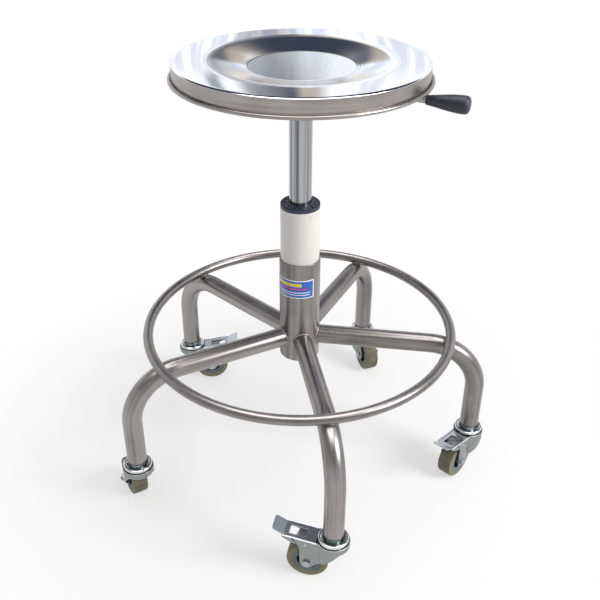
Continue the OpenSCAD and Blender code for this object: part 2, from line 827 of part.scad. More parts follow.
// A brake leaf: a strip flat under the pedal whose end is bent down behind the tyre's top
module leaf(k) {
    low = pedal_top - pedal_t;
    front = 1 - pedal_front;
    bend = [leaf_bend_x, low - leaf_t];
    ahead = [cos(leaf_bend), -sin(leaf_bend)];
    // From the axle to the bend, in the pedal's tilted frame
    drop = pivot_z - wheel_r;
    back = pivot_x - trail_braked;
    from_axle = bend + [
        back * cos(pedal_slope) + drop * sin(pedal_slope),
        drop * cos(pedal_slope) - back * sin(pedal_slope)];
    // The bent end stops where its lower face comes within the gap of the tyre
    near = wheel_r + leaf_gap;
    along = from_axle * ahead;
    run = -along - sqrt(along * along - from_axle * from_axle + near * near);
    tip = bend + run * ahead;
    color([0.22, 0.22, 0.24]) at_pivot(k) rotate([90, 0, 0])
        linear_extrude(leaf_w, center = true)
            polygon([
                [front, low - leaf_t], bend, tip, tip + leaf_t * [sin(leaf_bend), cos(leaf_bend)],
                bend + leaf_t * [tan(leaf_bend / 2), 1], [front, low]]);
}

seat_pan();
seat_backing_disc();
seat_nuts();
seat_plate();
lever_pin();
lever_rod();
lever_knob();
pressure_tube();
rod_guide();
release_pin();
piston_rod();
piston_head();
bearing_balls();
bump_stop();
retaining_clip();
bearing_race();
outer_column();
guide_bush();
hub_tube();
hub_label();
leg(0);  // leg_front
leg(1);  // leg_right
leg(2);  // leg_back_right
leg(3);  // leg_back_left
leg(4);  // leg_left
foot_ring();
leg_plugs();
caster_stems();
raceway_cups();
swivel_bearings();
fork(0);  // fork_front
fork(1);  // fork_right
fork(2);  // fork_back_right
fork(3);  // fork_back_left
fork(4);  // fork_left
axle(0);  // axle_front
axle(1);  // axle_right
axle(2);  // axle_back_right
axle(3);  // axle_back_left
axle(4);  // axle_left
wheel(0);  // wheel_front
wheel(1);  // wheel_right
wheel(2);  // wheel_back_right
wheel(3);  // wheel_back_left
wheel(4);  // wheel_left
tyre(0);  // tyre_front
tyre(1);  // tyre_right
tyre(2);  // tyre_back_right
tyre(3);  // tyre_back_left
tyre(4);  // tyre_left
pedal(0);  // pedal_front
pedal(1);  // pedal_right
pedal(3);  // pedal_back_left
leaf(0);  // leaf_front
leaf(1);  // leaf_right
leaf(3);  // leaf_back_left
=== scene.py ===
import json
import math

import bmesh
import bpy
import numpy as np
from mathutils import Matrix


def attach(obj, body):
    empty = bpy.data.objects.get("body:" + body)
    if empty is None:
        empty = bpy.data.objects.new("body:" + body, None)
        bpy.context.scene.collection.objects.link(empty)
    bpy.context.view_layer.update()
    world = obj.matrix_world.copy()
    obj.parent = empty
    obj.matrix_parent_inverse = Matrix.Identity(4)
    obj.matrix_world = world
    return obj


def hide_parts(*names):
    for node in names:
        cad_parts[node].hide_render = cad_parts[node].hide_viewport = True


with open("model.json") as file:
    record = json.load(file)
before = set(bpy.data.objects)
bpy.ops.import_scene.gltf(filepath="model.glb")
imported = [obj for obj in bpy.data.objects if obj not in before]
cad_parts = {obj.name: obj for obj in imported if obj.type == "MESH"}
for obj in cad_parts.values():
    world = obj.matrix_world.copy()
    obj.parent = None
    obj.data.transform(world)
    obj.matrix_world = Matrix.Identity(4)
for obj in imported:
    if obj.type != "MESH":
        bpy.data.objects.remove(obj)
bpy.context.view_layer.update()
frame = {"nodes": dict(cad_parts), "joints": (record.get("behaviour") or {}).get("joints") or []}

# Hub
# The middle tube of the base, cut from satin stainless tube, with a ledge inside its foot that the
# column stands on. The five legs are welded to its side.
hub_radius, hub_wall = 26.55, 1.5
hub_low, hub_high = 169.0, 315.5
ledge_width, ledge_height = 5.0, 4.0
steel_dark, steel_light = (0.19, 0.175, 0.168, 1), (0.345, 0.323, 0.312, 1)


def rounded(corners, radii, steps=5):
    """An outline whose corners are arcs that touch both their edges. An arc starts its radius over
    the tangent of half the corner's angle away from the corner, and its points are sums of its two
    ends, seen from its centre, weighted by sines."""
    corners = np.array(corners, float)
    outline = []
    for k, radius in enumerate(radii):
        here = corners[k]
        if radius == 0:
            outline.append(here[None])
            continue
        back, ahead = corners[k - 1] - here, corners[(k + 1) % len(corners)] - here
        back, ahead = back / np.linalg.norm(back), ahead / np.linalg.norm(ahead)
        half = math.acos(back @ ahead) / 2
        turn, cut = math.pi - 2 * half, radius / math.tan(half)
        centre = here + (back + ahead) / np.linalg.norm(back + ahead) * radius / math.sin(half)
        start, end = here + back * cut - centre, here + ahead * cut - centre
        share = np.linspace(0, 1, steps + 1)[:, None]
        arc = np.sin((1 - share) * turn) * start + np.sin(share * turn) * end
        outline.append(centre + arc / math.sin(turn))
    return np.concatenate(outline)


def oblong(near, far, low, high, radii, steps=5):
    """The rounded outline of a rectangle."""
    return rounded([(near, low), (far, low), (far, high), (near, high)], radii, steps)


def braced(outline, closed=True):
    """The outline with one more point near each end of every long edge, one short step away, so
    that smooth shading stays at the corners."""
    ends = np.roll(outline, -1, axis=0)
    length = np.linalg.norm(ends - outline, axis=1)
    before, after = np.roll(length, 1), np.roll(length, -1)
    start = np.arange(len(outline), dtype=float)
    near = (start + before / length)[length > 3 * before]
    far = (start + 1 - after / length)[length > 3 * after]
    at = np.sort(np.concatenate([start, near, far]))
    if not closed:
        at = at[at <= len(outline) - 1]
    index = at.astype(int)
    share = (at - index)[:, None]
    return outline[index] * (1 - share) + ends[index] * share


def turned(section, sides=96):
    """A section of points (radius, height) turned about the Z axis, as a grid of points:
    x = radius cos a, y = radius sin a, z = height."""
    angle = np.linspace(0, 2 * math.pi, sides, endpoint=False)
    radius, height = section[:, :1], section[:, 1:]
    return np.stack([radius * np.cos(angle), radius * np.sin(angle), height + 0 * angle], -1)


def skin(grid, around=False, along=False, capped=False):
    """Faces over a grid of points [row, column], one for each cell. around joins the last column to
    the first, along joins the last row to the first, and capped closes the first and last rows
    with a face each. A row that is one point is kept once, and its faces have three corners."""
    rows, columns = grid.shape[:2]
    index = np.arange(rows * columns).reshape(rows, columns)
    for end in (0, -1):
        if np.ptp(grid[end, :, :3], axis=0).max() < 1e-6:
            index[end] = index[end, 0]
    here = index if around else index[:, :-1]
    beside = np.roll(index, -1, axis=1) if around else index[:, 1:]
    low = slice(None) if along else slice(None, -1)
    above, above_beside = np.roll(here, -1, axis=0), np.roll(beside, -1, axis=0)
    cells = np.stack([here[low], beside[low], above_beside[low], above[low]], -1).reshape(-1, 4)
    at_first, at_last = cells[:, 0] == cells[:, 1], cells[:, 2] == cells[:, 3]
    whole = cells[~(at_first | at_last)]
    pointed = np.concatenate([cells[at_first][:, 1:], cells[at_last][:, :3]])
    corners = [whole.ravel(), pointed.ravel()]
    sizes = [np.full(len(whole), 4), np.full(len(pointed), 3)]
    if capped:
        corners += [index[0], index[-1]]
        sizes += [np.array([columns, columns])]
    used, corners = np.unique(np.concatenate(corners), return_inverse=True)
    return grid.reshape(rows * columns, -1)[used], corners.ravel(), np.concatenate(sizes)


def solid(name, skins, finish):
    """A mesh object at the origin that holds these skins, drawn in millimetres, with its faces
    turned outwards. Three more numbers at each point become its attribute place."""
    points = np.concatenate([made[0] for made in skins])
    first = np.cumsum([0] + [len(made[0]) for made in skins[:-1]])
    corners = np.concatenate([made[1] + start for made, start in zip(skins, first)])
    sizes = np.concatenate([made[2] for made in skins])
    mesh = bpy.data.meshes.new(name)
    mesh.vertices.add(len(points))
    mesh.vertices.foreach_set("co", (points[:, :3] * 0.001).ravel())
    mesh.loops.add(len(corners))
    mesh.loops.foreach_set("vertex_index", corners)
    mesh.polygons.add(len(sizes))
    mesh.polygons.foreach_set("loop_start", np.cumsum(sizes) - sizes)
    if points.shape[1] == 6:
        place = mesh.attributes.new("place", "FLOAT_VECTOR", "POINT")
        place.data.foreach_set("vector", (points[:, 3:] * 0.001).ravel())
    mesh.update(calc_edges=True)
    work = bmesh.new()
    work.from_mesh(mesh)
    bmesh.ops.recalc_face_normals(work, faces=work.faces)
    work.to_mesh(mesh)
    work.free()
    mesh.shade_smooth()
    mesh.set_sharp_from_angle(angle=math.radians(38))
    mesh.materials.append(finish)
    made = bpy.data.objects.new(name, mesh)
    bpy.context.scene.collection.objects.link(made)
    return made


class Shade:
    """A socket of a material's tree. A sum or product with it adds a Math node, and node() adds any
    other: its settings are set first, and then the values or links of its sockets."""

    def __init__(self, tree, socket=None):
        self.tree, self.socket = tree, socket

    def node(self, kind, settings={}, values={}, output=0):
        made = self.tree.nodes.new("ShaderNode" + kind)
        for key, value in settings.items():
            if key == "stops":
                stops = made.color_ramp.elements
                stops.remove(stops[1])
                stops[0].position, stops[0].color = value[0]
                for at, colour in value[1:]:
                    stops.new(at).color = colour
            else:
                setattr(made, key, value)
        for key, value in values.items():
            if isinstance(value, Shade):
                self.tree.links.new(value.socket, made.inputs[key])
            else:
                made.inputs[key].default_value = value
        return Shade(self.tree, made.outputs[output])

    def maths(self, operation, *numbers):
        return self.node("Math", {"operation": operation}, dict(enumerate(numbers)))

    def __add__(self, other):
        return self.maths("ADD", self, other)

    def __radd__(self, other):
        return self.maths("ADD", other, self)

    def __sub__(self, other):
        return self.maths("SUBTRACT", self, other)

    def __rsub__(self, other):
        return self.maths("SUBTRACT", other, self)

    def __mul__(self, other):
        return self.maths("MULTIPLY", self, other)

    def __rmul__(self, other):
        return self.maths("MULTIPLY", other, self)

    def __truediv__(self, other):
        return self.maths("DIVIDE", self, other)


def new_finish(name, constants):
    """A material whose shader has these constants on its own sockets, and a Shade of its tree."""
    finish = bpy.data.materials.new(name)
    finish.use_nodes = True
    shader = finish.node_tree.nodes["Principled BSDF"]
    for key, value in constants.items():
        shader.inputs[key].default_value = value
    return finish, Shade(finish.node_tree)


def dress(finish, varying):
    """Links what varies over the surface to the shader's sockets."""
    shader = finish.node_tree.nodes["Principled BSDF"]
    for key, value in varying.items():
        finish.node_tree.links.new(value.socket, shader.inputs[key])


def coordinates(start):
    """The object's own coordinates, in metres."""
    return start.node("TexCoord", {}, {}, "Object")


def along_surface(start):
    """The coordinates that a mesh keeps in its attribute place, in metres."""
    return start.node("Attribute", {"attribute_name": "place"}, {}, "Vector")


def axes(source):
    """The three numbers x, y and z of a vector."""
    parts = source.node("SeparateXYZ", {}, {0: source}).socket.node
    return [Shade(source.tree, parts.outputs[k]) for k in range(3)]


def from_axis(x, y):
    """Distance from the Z axis: the root of x squared plus y squared."""
    return x.maths("SQRT", x * x + y * y)


def grain(source, repeats, detail=3.0):
    """Noise with about this many repeats in a metre along each axis."""
    stretched = source.node("Mapping", {}, {"Vector": source, "Scale": repeats})
    return source.node("TexNoise", {}, {"Vector": stretched, "Scale": 1.0, "Detail": detail})


def eased(value, low, high, start=0.0, end=1.0):
    """Goes smoothly from start to end while value goes from low to high."""
    return value.node("MapRange", {"interpolation_type": "SMOOTHSTEP"},
                      {0: value, 1: low, 2: high, 3: start, 4: end})


def mixed(share, first, second):
    """The first colour where share is 0 and the second where it is 1."""
    return share.node("Mix", {"data_type": "RGBA"}, {0: share, 6: first, 7: second}, 2)


def shaded(share, colour, shade):
    """The colour, multiplied by another as far as share says."""
    return colour.node("Mix", {"data_type": "RGBA", "blend_type": "MULTIPLY"},
                       {0: share, 6: colour, 7: shade}, 2)


def bumps(height, depth, strength=1.0):
    """A normal tilted by a height that runs over depth metres."""
    return height.node("Bump", {}, {"Strength": strength, "Distance": depth, "Height": height})


def satin_steel(name, source, dark, light):
    """Steel brushed along its length: lines far longer than they are wide, and a slow change of
    tone from place to place, shade its colour and its roughness. Broad bands along its length are
    painted reflection: lighter and darker stripes in its colour that stand for the surroundings it
    mirrors."""
    finish, start = new_finish(name, {"Metallic": 1.0})
    lines = grain(source(start), (1100, 1100, 9), 2.0)
    # painted reflection: broad bands along the length make lighter and darker stripes in the
    # colour, standing for the surroundings the tube mirrors
    reflection_bands = grain(source(start), (120, 120, 1.5), 1.0)
    clouds = grain(coordinates(start), (30, 30, 30), 2.0)
    specks = grain(coordinates(start), (1500, 1500, 1500), 2.0)
    tone = eased(lines * 0.15 + reflection_bands * 0.55 + clouds * 0.2 + specks * 0.1, 0.38, 0.62)
    dress(finish, {
        "Base Color": mixed(tone, dark, light),
        "Roughness": tone * 0.06 + 0.27,
        "Normal": bumps(lines * 0.6 + specks * 0.2, 0.00001, 0.3),
    })
    return finish


hub_finish = satin_steel("hub_steel", coordinates, steel_dark, steel_light)
hub_section = rounded([
    (hub_radius - hub_wall, hub_high), (hub_radius, hub_high), (hub_radius, hub_low),
    (hub_radius - hub_wall - ledge_width, hub_low),
    (hub_radius - hub_wall - ledge_width, hub_low + ledge_height),
    (hub_radius - hub_wall, hub_low + ledge_height)], [0.5, 0.6, 0.9, 0.5, 0.5, 0])
hub = solid("hub", [skin(turned(braced(hub_section), 160), True, True)], hub_finish)
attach(hub, "base")
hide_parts("hub_tube")

# Legs
# Five lengths of one-inch stainless tube, each bent down at its outer end and shaped at its inner
# end to fit the hub, where a weld runs round it.
leg_radius, leg_wall = 12.7, 1.5
leg_level, leg_end = 199.0, 72.0
leg_reach, leg_bend = 242.0, 66.0
leg_lip = 0.35
weld_radius, weld_ripples = 1.25, 46
joints = {joint["name"]: joint for joint in frame["joints"]}
swivel_prefix = "caster_swivel_"
casters = [name[len(swivel_prefix):] for name in joints if name.startswith(swivel_prefix)]
swivels = {name: 1000 * np.array(joints[swivel_prefix + name]["pos_m"]) for name in casters}
axles = {name: 1000 * np.array(joints["wheel_spin_" + name]["pos_m"]) for name in casters}
bearings = {name: math.atan2(swivels[name][1], swivels[name][0]) for name in casters}


def placed(grid, turn, x=0.0, y=0.0):
    """The grid turned about the Z axis and then moved: x cos t - y sin t, x sin t + y cos t."""
    moved = grid.copy()
    moved[..., 0] = grid[..., 0] * math.cos(turn) - grid[..., 1] * math.sin(turn) + x
    moved[..., 1] = grid[..., 0] * math.sin(turn) + grid[..., 1] * math.cos(turn) + y
    return moved


def leg_wall_grid(radius, sides=48):
    """Rings of one radius square to the leg's middle line: level, a quarter circle, then straight
    down. The first ring lies on the hub: its x is the root of the hub's radius squared less y
    squared. Each point also keeps its place as if the tube were straight."""
    bend_x, bend_z = leg_reach - leg_bend, leg_level - leg_bend
    fall = np.linspace(math.pi / 2, 0, 31)
    out = np.concatenate([np.full(9, math.pi / 2), fall, np.zeros(9)])
    x = np.concatenate([np.linspace(hub_radius, bend_x, 10)[:-1],
                        bend_x + leg_bend * np.cos(fall), np.full(9, leg_reach)])
    z = np.concatenate([np.full(9, leg_level), bend_z + leg_bend * np.sin(fall),
                        np.linspace(bend_z, leg_end, 10)[1:]])
    length = np.concatenate([[0], np.cumsum(np.hypot(np.diff(x), np.diff(z)))])
    angle = np.linspace(0, 2 * math.pi, sides, endpoint=False)
    side, top = radius * np.cos(angle), radius * np.sin(angle)
    grid = np.stack([
        x[:, None] + top * np.cos(out)[:, None], side + 0 * x[:, None],
        z[:, None] + top * np.sin(out)[:, None],
        side + 0 * x[:, None], top + 0 * x[:, None], length[:, None] + 0 * top], -1)
    grid[0, :, 0] = np.sqrt((hub_radius - 0.3) ** 2 - side ** 2)
    return grid


def bead(curve, outward, radius, ripples):
    """A closed weld bead: rings square to a closed curve, whose radius rises and falls by a tenth
    with a sine along it."""
    ahead = np.roll(curve, -1, axis=0) - np.roll(curve, 1, axis=0)
    side = np.cross(ahead, outward)
    side /= np.linalg.norm(side, axis=1)[:, None]
    out = np.cross(side, ahead)
    out /= np.linalg.norm(out, axis=1)[:, None]
    angle = np.linspace(0, 2 * math.pi, 12, endpoint=False)[:, None]
    turns = np.linspace(0, 2 * math.pi, len(curve), endpoint=False)
    swell = radius * (1 + 0.1 * np.sin(ripples * turns))
    ring = np.cos(angle) * side[:, None] + np.sin(angle) * out[:, None]
    return curve[:, None] + swell[:, None, None] * ring


weld_finish, start = new_finish("weld_metal", {"Metallic": 1.0})
heat = grain(coordinates(start), (260, 260, 260))
dress(weld_finish, {
    "Base Color": mixed(heat, (0.20, 0.18, 0.165, 1), (0.46, 0.43, 0.40, 1)),
    "Roughness": heat * 0.2 + 0.3,
    "Normal": bumps(grain(coordinates(start), (900, 900, 900)), 0.0001, 0.5),
})
leg_finish = satin_steel("leg_steel", along_surface, steel_dark, steel_light)
turns = np.linspace(0, 2 * math.pi, 160, endpoint=False)
weld_y, weld_z = (leg_radius + 0.15) * np.cos(turns), (leg_radius + 0.15) * np.sin(turns)
weld_x = np.sqrt((hub_radius + 0.1) ** 2 - weld_y ** 2)
weld_curve = np.stack([weld_x, weld_y, weld_z + leg_level], -1)
weld_out = np.stack([weld_x, weld_y * 2, weld_z * 2], -1)
outer, inner = leg_wall_grid(leg_radius), leg_wall_grid(leg_radius - leg_wall)
mouth = [outer[-1:].copy(), inner[-1:].copy()]
end_angle = np.linspace(0, 2 * math.pi, outer.shape[1], endpoint=False)
end_out = leg_lip * np.stack([np.sin(end_angle), np.cos(end_angle)], -1)
mouth[0][..., :2] -= end_out
mouth[1][..., :2] += end_out
outer[-1, :, 2] += leg_lip
inner[-1, :, 2] += leg_lip
shell = np.concatenate([outer, *mouth, inner[::-1]])
leg_weld = bead(weld_curve, weld_out, weld_radius, weld_ripples)
for name in casters:
    leg = solid("leg_tube_" + name, [skin(placed(shell, bearings[name]), True, True)], leg_finish)
    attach(leg, "base")
    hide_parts("leg_" + name)
    weld = solid("hub_weld_" + name, [skin(placed(leg_weld, bearings[name]), True, True)],
                 weld_finish)
    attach(weld, "base")

# Foot ring
# One hoop of thin stainless tube, rolled, butted and welded on top of the legs' bends.
ring_reach, ring_radius = 202.0, 6.5
ring_let_in = 1.2
saddle_weld_radius, saddle_ripples = 1.3, 16
saddle = leg_bend + leg_radius + ring_radius - ring_let_in
ring_level = leg_level - leg_bend + math.sqrt(
    saddle ** 2 - (ring_reach - leg_reach + leg_bend) ** 2)


def hoop(reach, level, radius, sides=36, turns=288):
    """A ring tube: its section's circle stands at reach from the Z axis and goes once round it.
    Each point keeps its place as if the tube were straight, counted from the ring's front."""
    section = np.linspace(0, 2 * math.pi, sides, endpoint=False)[:, None]
    circle = np.concatenate([reach + radius * np.cos(section), level + radius * np.sin(section)], 1)
    grid = turned(circle, turns)
    length = reach * np.abs(np.linspace(-math.pi, math.pi, turns, endpoint=False))
    place = np.stack([radius * np.cos(section) + 0 * length, radius * np.sin(section) + 0 * length,
                      length + 0 * section], -1)
    return np.concatenate([grid, place], -1)


ring_finish = satin_steel("ring_steel", along_surface, steel_dark, steel_light)
foot_ring = solid("foot_hoop", [skin(hoop(ring_reach, ring_level, ring_radius), True, True)],
                  ring_finish)
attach(foot_ring, "base")
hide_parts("foot_ring")
lean = np.array([ring_reach - leg_reach + leg_bend, 0, ring_level - leg_level + leg_bend]) / saddle
slope = np.array([lean[2], 0, -lean[0]])
width = 1 / (2 * ring_radius) + 1 / (2 * (leg_bend + leg_radius))
over, across = math.sqrt(ring_let_in / width), math.sqrt(2 * leg_radius * ring_let_in)
step, stride = over * np.cos(turns)[:, None], across * np.sin(turns)[:, None]
fallen = -stride ** 2 / (2 * leg_radius) - step ** 2 / (2 * (leg_bend + leg_radius))
touch = np.array([leg_reach - leg_bend, 0, leg_level - leg_bend]) \
    + (leg_bend + leg_radius + fallen) * lean
saddle_curve = touch + step * slope + stride * np.array([0, 1, 0])
saddle_out = step * slope + stride * np.array([0, 1, 0]) + 0.3 * lean
saddle_weld = bead(saddle_curve, saddle_out, saddle_weld_radius, saddle_ripples)
for name in casters:
    weld = solid("ring_weld_" + name, [skin(placed(saddle_weld, bearings[name]), True, True)],
                 weld_finish)
    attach(weld, "base")

# Label
# A thin printed film stuck round the front of the hub: a blue field in a white border, with plain
# bands of yellow, red and white.
label_low, label_high = 268.0, 294.0
label_middle, label_width = math.radians(-113), 60.0
label_inside, label_outside = hub_radius + 0.05, hub_radius + 0.3
label_half = label_width / hub_radius / 2
film_white, film_blue = (0.80, 0.80, 0.80, 1), (0.018, 0.10, 0.46, 1)
band_yellow, band_red = (0.72, 0.60, 0.03, 1), (0.62, 0.04, 0.07, 1)
band_white, band_start = (0.70, 0.72, 0.78, 1), 0.07
film_bands = [(0.72, 0.66, 0.84, band_yellow), (0.84, 0.49, 0.56, band_red),
              (0.90, 0.30, 0.35, band_white), (0.90, 0.17, 0.22, band_white)]
film_section = oblong(label_inside, label_outside, label_low, label_high, [0, 0.1, 0.1, 0])
film_turns = np.linspace(label_middle - label_half, label_middle + label_half, 60)[:, None]
film = np.stack([film_section[:, 0] * np.cos(film_turns), film_section[:, 0] * np.sin(film_turns),
                 film_section[:, 1] + 0 * film_turns], -1)
label_finish, start = new_finish("label_film", {"Roughness": 0.28, "Coat Weight": 0.3})
x, y, z = axes(coordinates(start))
across_film = (start.maths("ARCTAN2", y, x) - (label_middle - label_half)) / (2 * label_half)
up_film = (z - label_low * 0.001) / ((label_high - label_low) * 0.001)


def between(value, low, high, soft):
    """1 where value lies from low to high and 0 elsewhere, with soft edges."""
    return eased(value, low - soft, low + soft) * eased(value, high - soft, high + soft, 1, 0)


def patch(left, right, low, high):
    """1 on a rectangle of the film, given as shares of its width and height."""
    return between(across_film, left, right, 0.004) * between(up_film, low, high, 0.012)


film_colour = mixed(patch(0.022, 0.978, 0.05, 0.95), film_white, film_blue)
for right, low, high, colour in film_bands:
    film_colour = mixed(patch(band_start, right, low, high), film_colour, colour)
dress(label_finish, {
    "Base Color": film_colour,
    "Normal": bumps(grain(coordinates(start), (500, 500, 500), 1.0), 0.00005, 0.3),
})
label = solid("label", [skin(film, True, False, True)], label_finish)
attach(label, "base")
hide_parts("hub_label")

# Column
# A steel tube, enamelled off-white, that stands in the hub. Its floor near the foot carries the
# gas spring.
column_radius, column_wall = 25.0, 1.5
column_low, column_high = 173.0, 386.8
enamel_dark, enamel_light = (0.62, 0.595, 0.568, 1), (0.69, 0.663, 0.632, 1)
enamel_worn = (0.36, 0.34, 0.32, 1)
chip_places = [(12.4, -21.7, 380.6, 1.9), (20.4, -14.4, 381.8, 1.7), (15.5, -19.6, 383.6, 0.9)]
column_section = oblong(column_radius - column_wall, column_radius, column_low, column_high,
                        [0.3, 0.4, 0.4, 0.3])
enamel, start = new_finish("white_enamel", {"Coat Weight": 0.25, "Coat Roughness": 0.12})
body = coordinates(start)
clouds = grain(body, (24, 24, 24), 3.0)
marks = eased(grain(body, (90, 90, 1500), 4.0), 0.68, 0.74)
chips = 0.0
for x, y, z, size in chip_places:
    away = body.node("VectorMath", {"operation": "DISTANCE"},
                     {0: body, 1: (x * 0.001, y * 0.001, z * 0.001)}, "Value")
    chip = between(away + (clouds - 0.5) * 0.0012, size * 0.0006, size * 0.001, 0.0002)
    chips = chip + chips
tone = mixed(clouds, enamel_dark, enamel_light)
dress(enamel, {
    "Base Color": mixed(marks * 0.35 + chips * 0.75, tone, enamel_worn),
    "Roughness": clouds * 0.12 + 0.3,
    "Normal": bumps(grain(body, (700, 700, 700), 2.0) + chips * -3.0, 0.00004, 0.5),
})
column = solid("column", [skin(turned(braced(column_section), 144), True, True)], enamel)
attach(column, "base")
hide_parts("outer_column")

# Guide bush and thrust race
# The bush is moulded in near-black plastic, with a slotted flange that caps the column. The race
# under the gas spring's rod is hardened and ground.


def clothe(finish, slot_name, *nodes):
    """Gives CAD nodes their finish."""
    for node in nodes:
        part = frame["nodes"][node]
        part.data.materials.clear()
        part.data.materials.append(finish)


def speckled(name, constants, dark, light, roughness, noise, bump=(), source=coordinates):
    """A finish with one noise, given by its repeats in a metre and its detail. It shades the
    colour, adds up to a spread to the least roughness, and makes bumps of a depth in metres and a
    strength."""
    finish, start = new_finish(name, constants)
    specks = grain(source(start), *noise)
    least, spread = roughness
    dress(finish, {"Base Color": mixed(specks, dark, light), "Roughness": specks * spread + least})
    if bump:
        dress(finish, {"Normal": bumps(specks, *bump)})
    return finish


clothe(speckled("bush_plastic", {"Specular IOR Level": 0.45}, (0.018, 0.022, 0.042, 1),
                (0.032, 0.038, 0.062, 1), (0.34, 0.2), ((1500, 1500, 1500), 2.0), (0.00004, 0.4)),
       "bush_plastic", "guide_bush")
ground_steel = speckled("ground_steel", {"Metallic": 1.0}, (0.34, 0.35, 0.37, 1),
                        (0.62, 0.63, 0.65, 1), (0.16, 0.15), ((300, 300, 2500), 3.0))
clothe(ground_steel, "bearing_steel", "bearing_race")

# Gas spring
# A chromed pressure tube slides in the bush and carries the seat. Its rod stands on the column's
# floor with a thrust bearing, a rubber stop and a clip.
tube_radius, tube_bore = 14.0, 12.7
tube_low, tube_straight, tube_high = 312.8, 510.3, 539.3
tube_taper = 0.026
tube_cap, valve_bore = 14.0, 3.05
tube_top_radius = tube_radius - tube_taper * (tube_high - tube_straight)
tube_section = rounded([
    (tube_bore, tube_low), (tube_radius, tube_low), (tube_radius, tube_straight),
    (tube_top_radius, tube_high), (valve_bore, tube_high), (valve_bore, tube_high - tube_cap),
    (tube_bore, tube_high - tube_cap)], [0.3, 0.7, 0, 0.6, 0.3, 0, 0])


def bright_chrome(name, dark, light, roughness):
    """Chrome on a ground bar: bright lines along it and a little haze. Broad bands along it are
    painted reflection: lighter and darker stripes in its colour.
    """
    finish, start = new_finish(name, {"Metallic": 1.0})
    lines = grain(coordinates(start), (700, 700, 3))
    # painted reflection: broad bands along the bar make lighter and darker stripes in the colour
    reflection_bands = grain(coordinates(start), (170, 170, 1), 1.0)
    haze = grain(coordinates(start), (90, 90, 90), 3.0)
    tone = eased(lines * 0.4 + reflection_bands * 0.6, 0.38, 0.6)
    dress(finish, {
        "Base Color": mixed(tone, dark, light),
        "Roughness": haze * 0.08 + roughness,
        "Normal": bumps(lines, 0.00002, 0.35),
    })
    return finish


tube_chrome = bright_chrome("tube_chrome", (0.15, 0.153, 0.163, 1), (0.44, 0.44, 0.455, 1), 0.14)
tube = solid("spring_tube", [skin(turned(braced(tube_section), 96), True, True)], tube_chrome)
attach(tube, "seat")
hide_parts("pressure_tube")
clothe(tube_chrome, "tube_chrome", "piston_rod", "release_pin")
clothe(ground_steel, "bearing_steel", "piston_head", "bearing_balls")
clothe(speckled("packing_rubber", {"Specular IOR Level": 0.3}, (0.012, 0.012, 0.013, 1),
                (0.03, 0.03, 0.032, 1), (0.6, 0.2), ((600, 600, 600), 3.0)),
       "packing_rubber", "rod_guide", "bump_stop")
zinc_dark, zinc_light = (0.30, 0.325, 0.345, 1), (0.56, 0.585, 0.60, 1)


def zinc_plate(name, source, dark, light, roughness):
    """Bright zinc: a fine sparkle, slow clouds that lean to green or blue, and short rub marks."""
    finish, start = new_finish(name, {"Metallic": 1.0})
    sparkle = grain(source(start), (1300, 1300, 1300), 2.0)
    clouds = grain(source(start), (55, 55, 55), 2.0)
    rubs = grain(source(start), (60, 900, 260), 2.0)
    tint = mixed(clouds, (0.95, 1.0, 0.97, 1), (0.96, 0.98, 1.0, 1))
    tone = mixed(sparkle * 0.25 + clouds * 0.55 + rubs * 0.2, dark, light)
    dress(finish, {
        "Base Color": shaded(1.0, tone, tint),
        "Roughness": clouds * 0.1 + roughness,
        "Normal": bumps(sparkle * 0.4 + rubs * 0.6, 0.00002, 0.3),
    })
    return finish


cad_zinc = zinc_plate("zinc_plate", coordinates, zinc_dark, zinc_light, 0.22)
clothe(cad_zinc, "zinc_plate", "retaining_clip")

# Seat plate
# A pressed plate in black powder coat, with the tapered socket for the gas spring and two cheeks
# for the lever's pin. Zinc nuts hold it to the studs of the disc welded under the seat.
clothe(speckled("powder_coat", {"Specular IOR Level": 0.4}, (0.028, 0.028, 0.031, 1),
                (0.045, 0.045, 0.048, 1), (0.35, 0.2), ((500, 500, 500), 2.0), (0.0001, 0.5)),
       "black_paint", "seat_plate", "seat_backing_disc")
clothe(cad_zinc, "zinc_plate", "seat_nuts")
clothe(tube_chrome, "tube_chrome", "lever_pin")

# Lever
# A chromed bar under the seat: its inner arm reaches over the valve's pin, and its outer arm is
# cranked down and out past the skirt. A boss on it turns on the pin.
lever_radius = 4.0
lever_turn = math.radians(-23.7)
lever_tip, lever_pivot, lever_crank = -7.0, 31.0, 50.0
crank_run, crank_bend, into_knob = 16.0, 7.0, 30.0
boss_bore, boss_radius, boss_half = 2.6, 6.2, 10.6
lever_inner_z, lever_outer_z = 546.0, 533.5
knob_from_crank, knob_length = 96.0, 49.0
outward = np.array([math.cos(lever_turn), math.sin(lever_turn), 0])
crank_foot = np.array([lever_crank, 0, lever_outer_z])
sideways = [0, 2, 1]


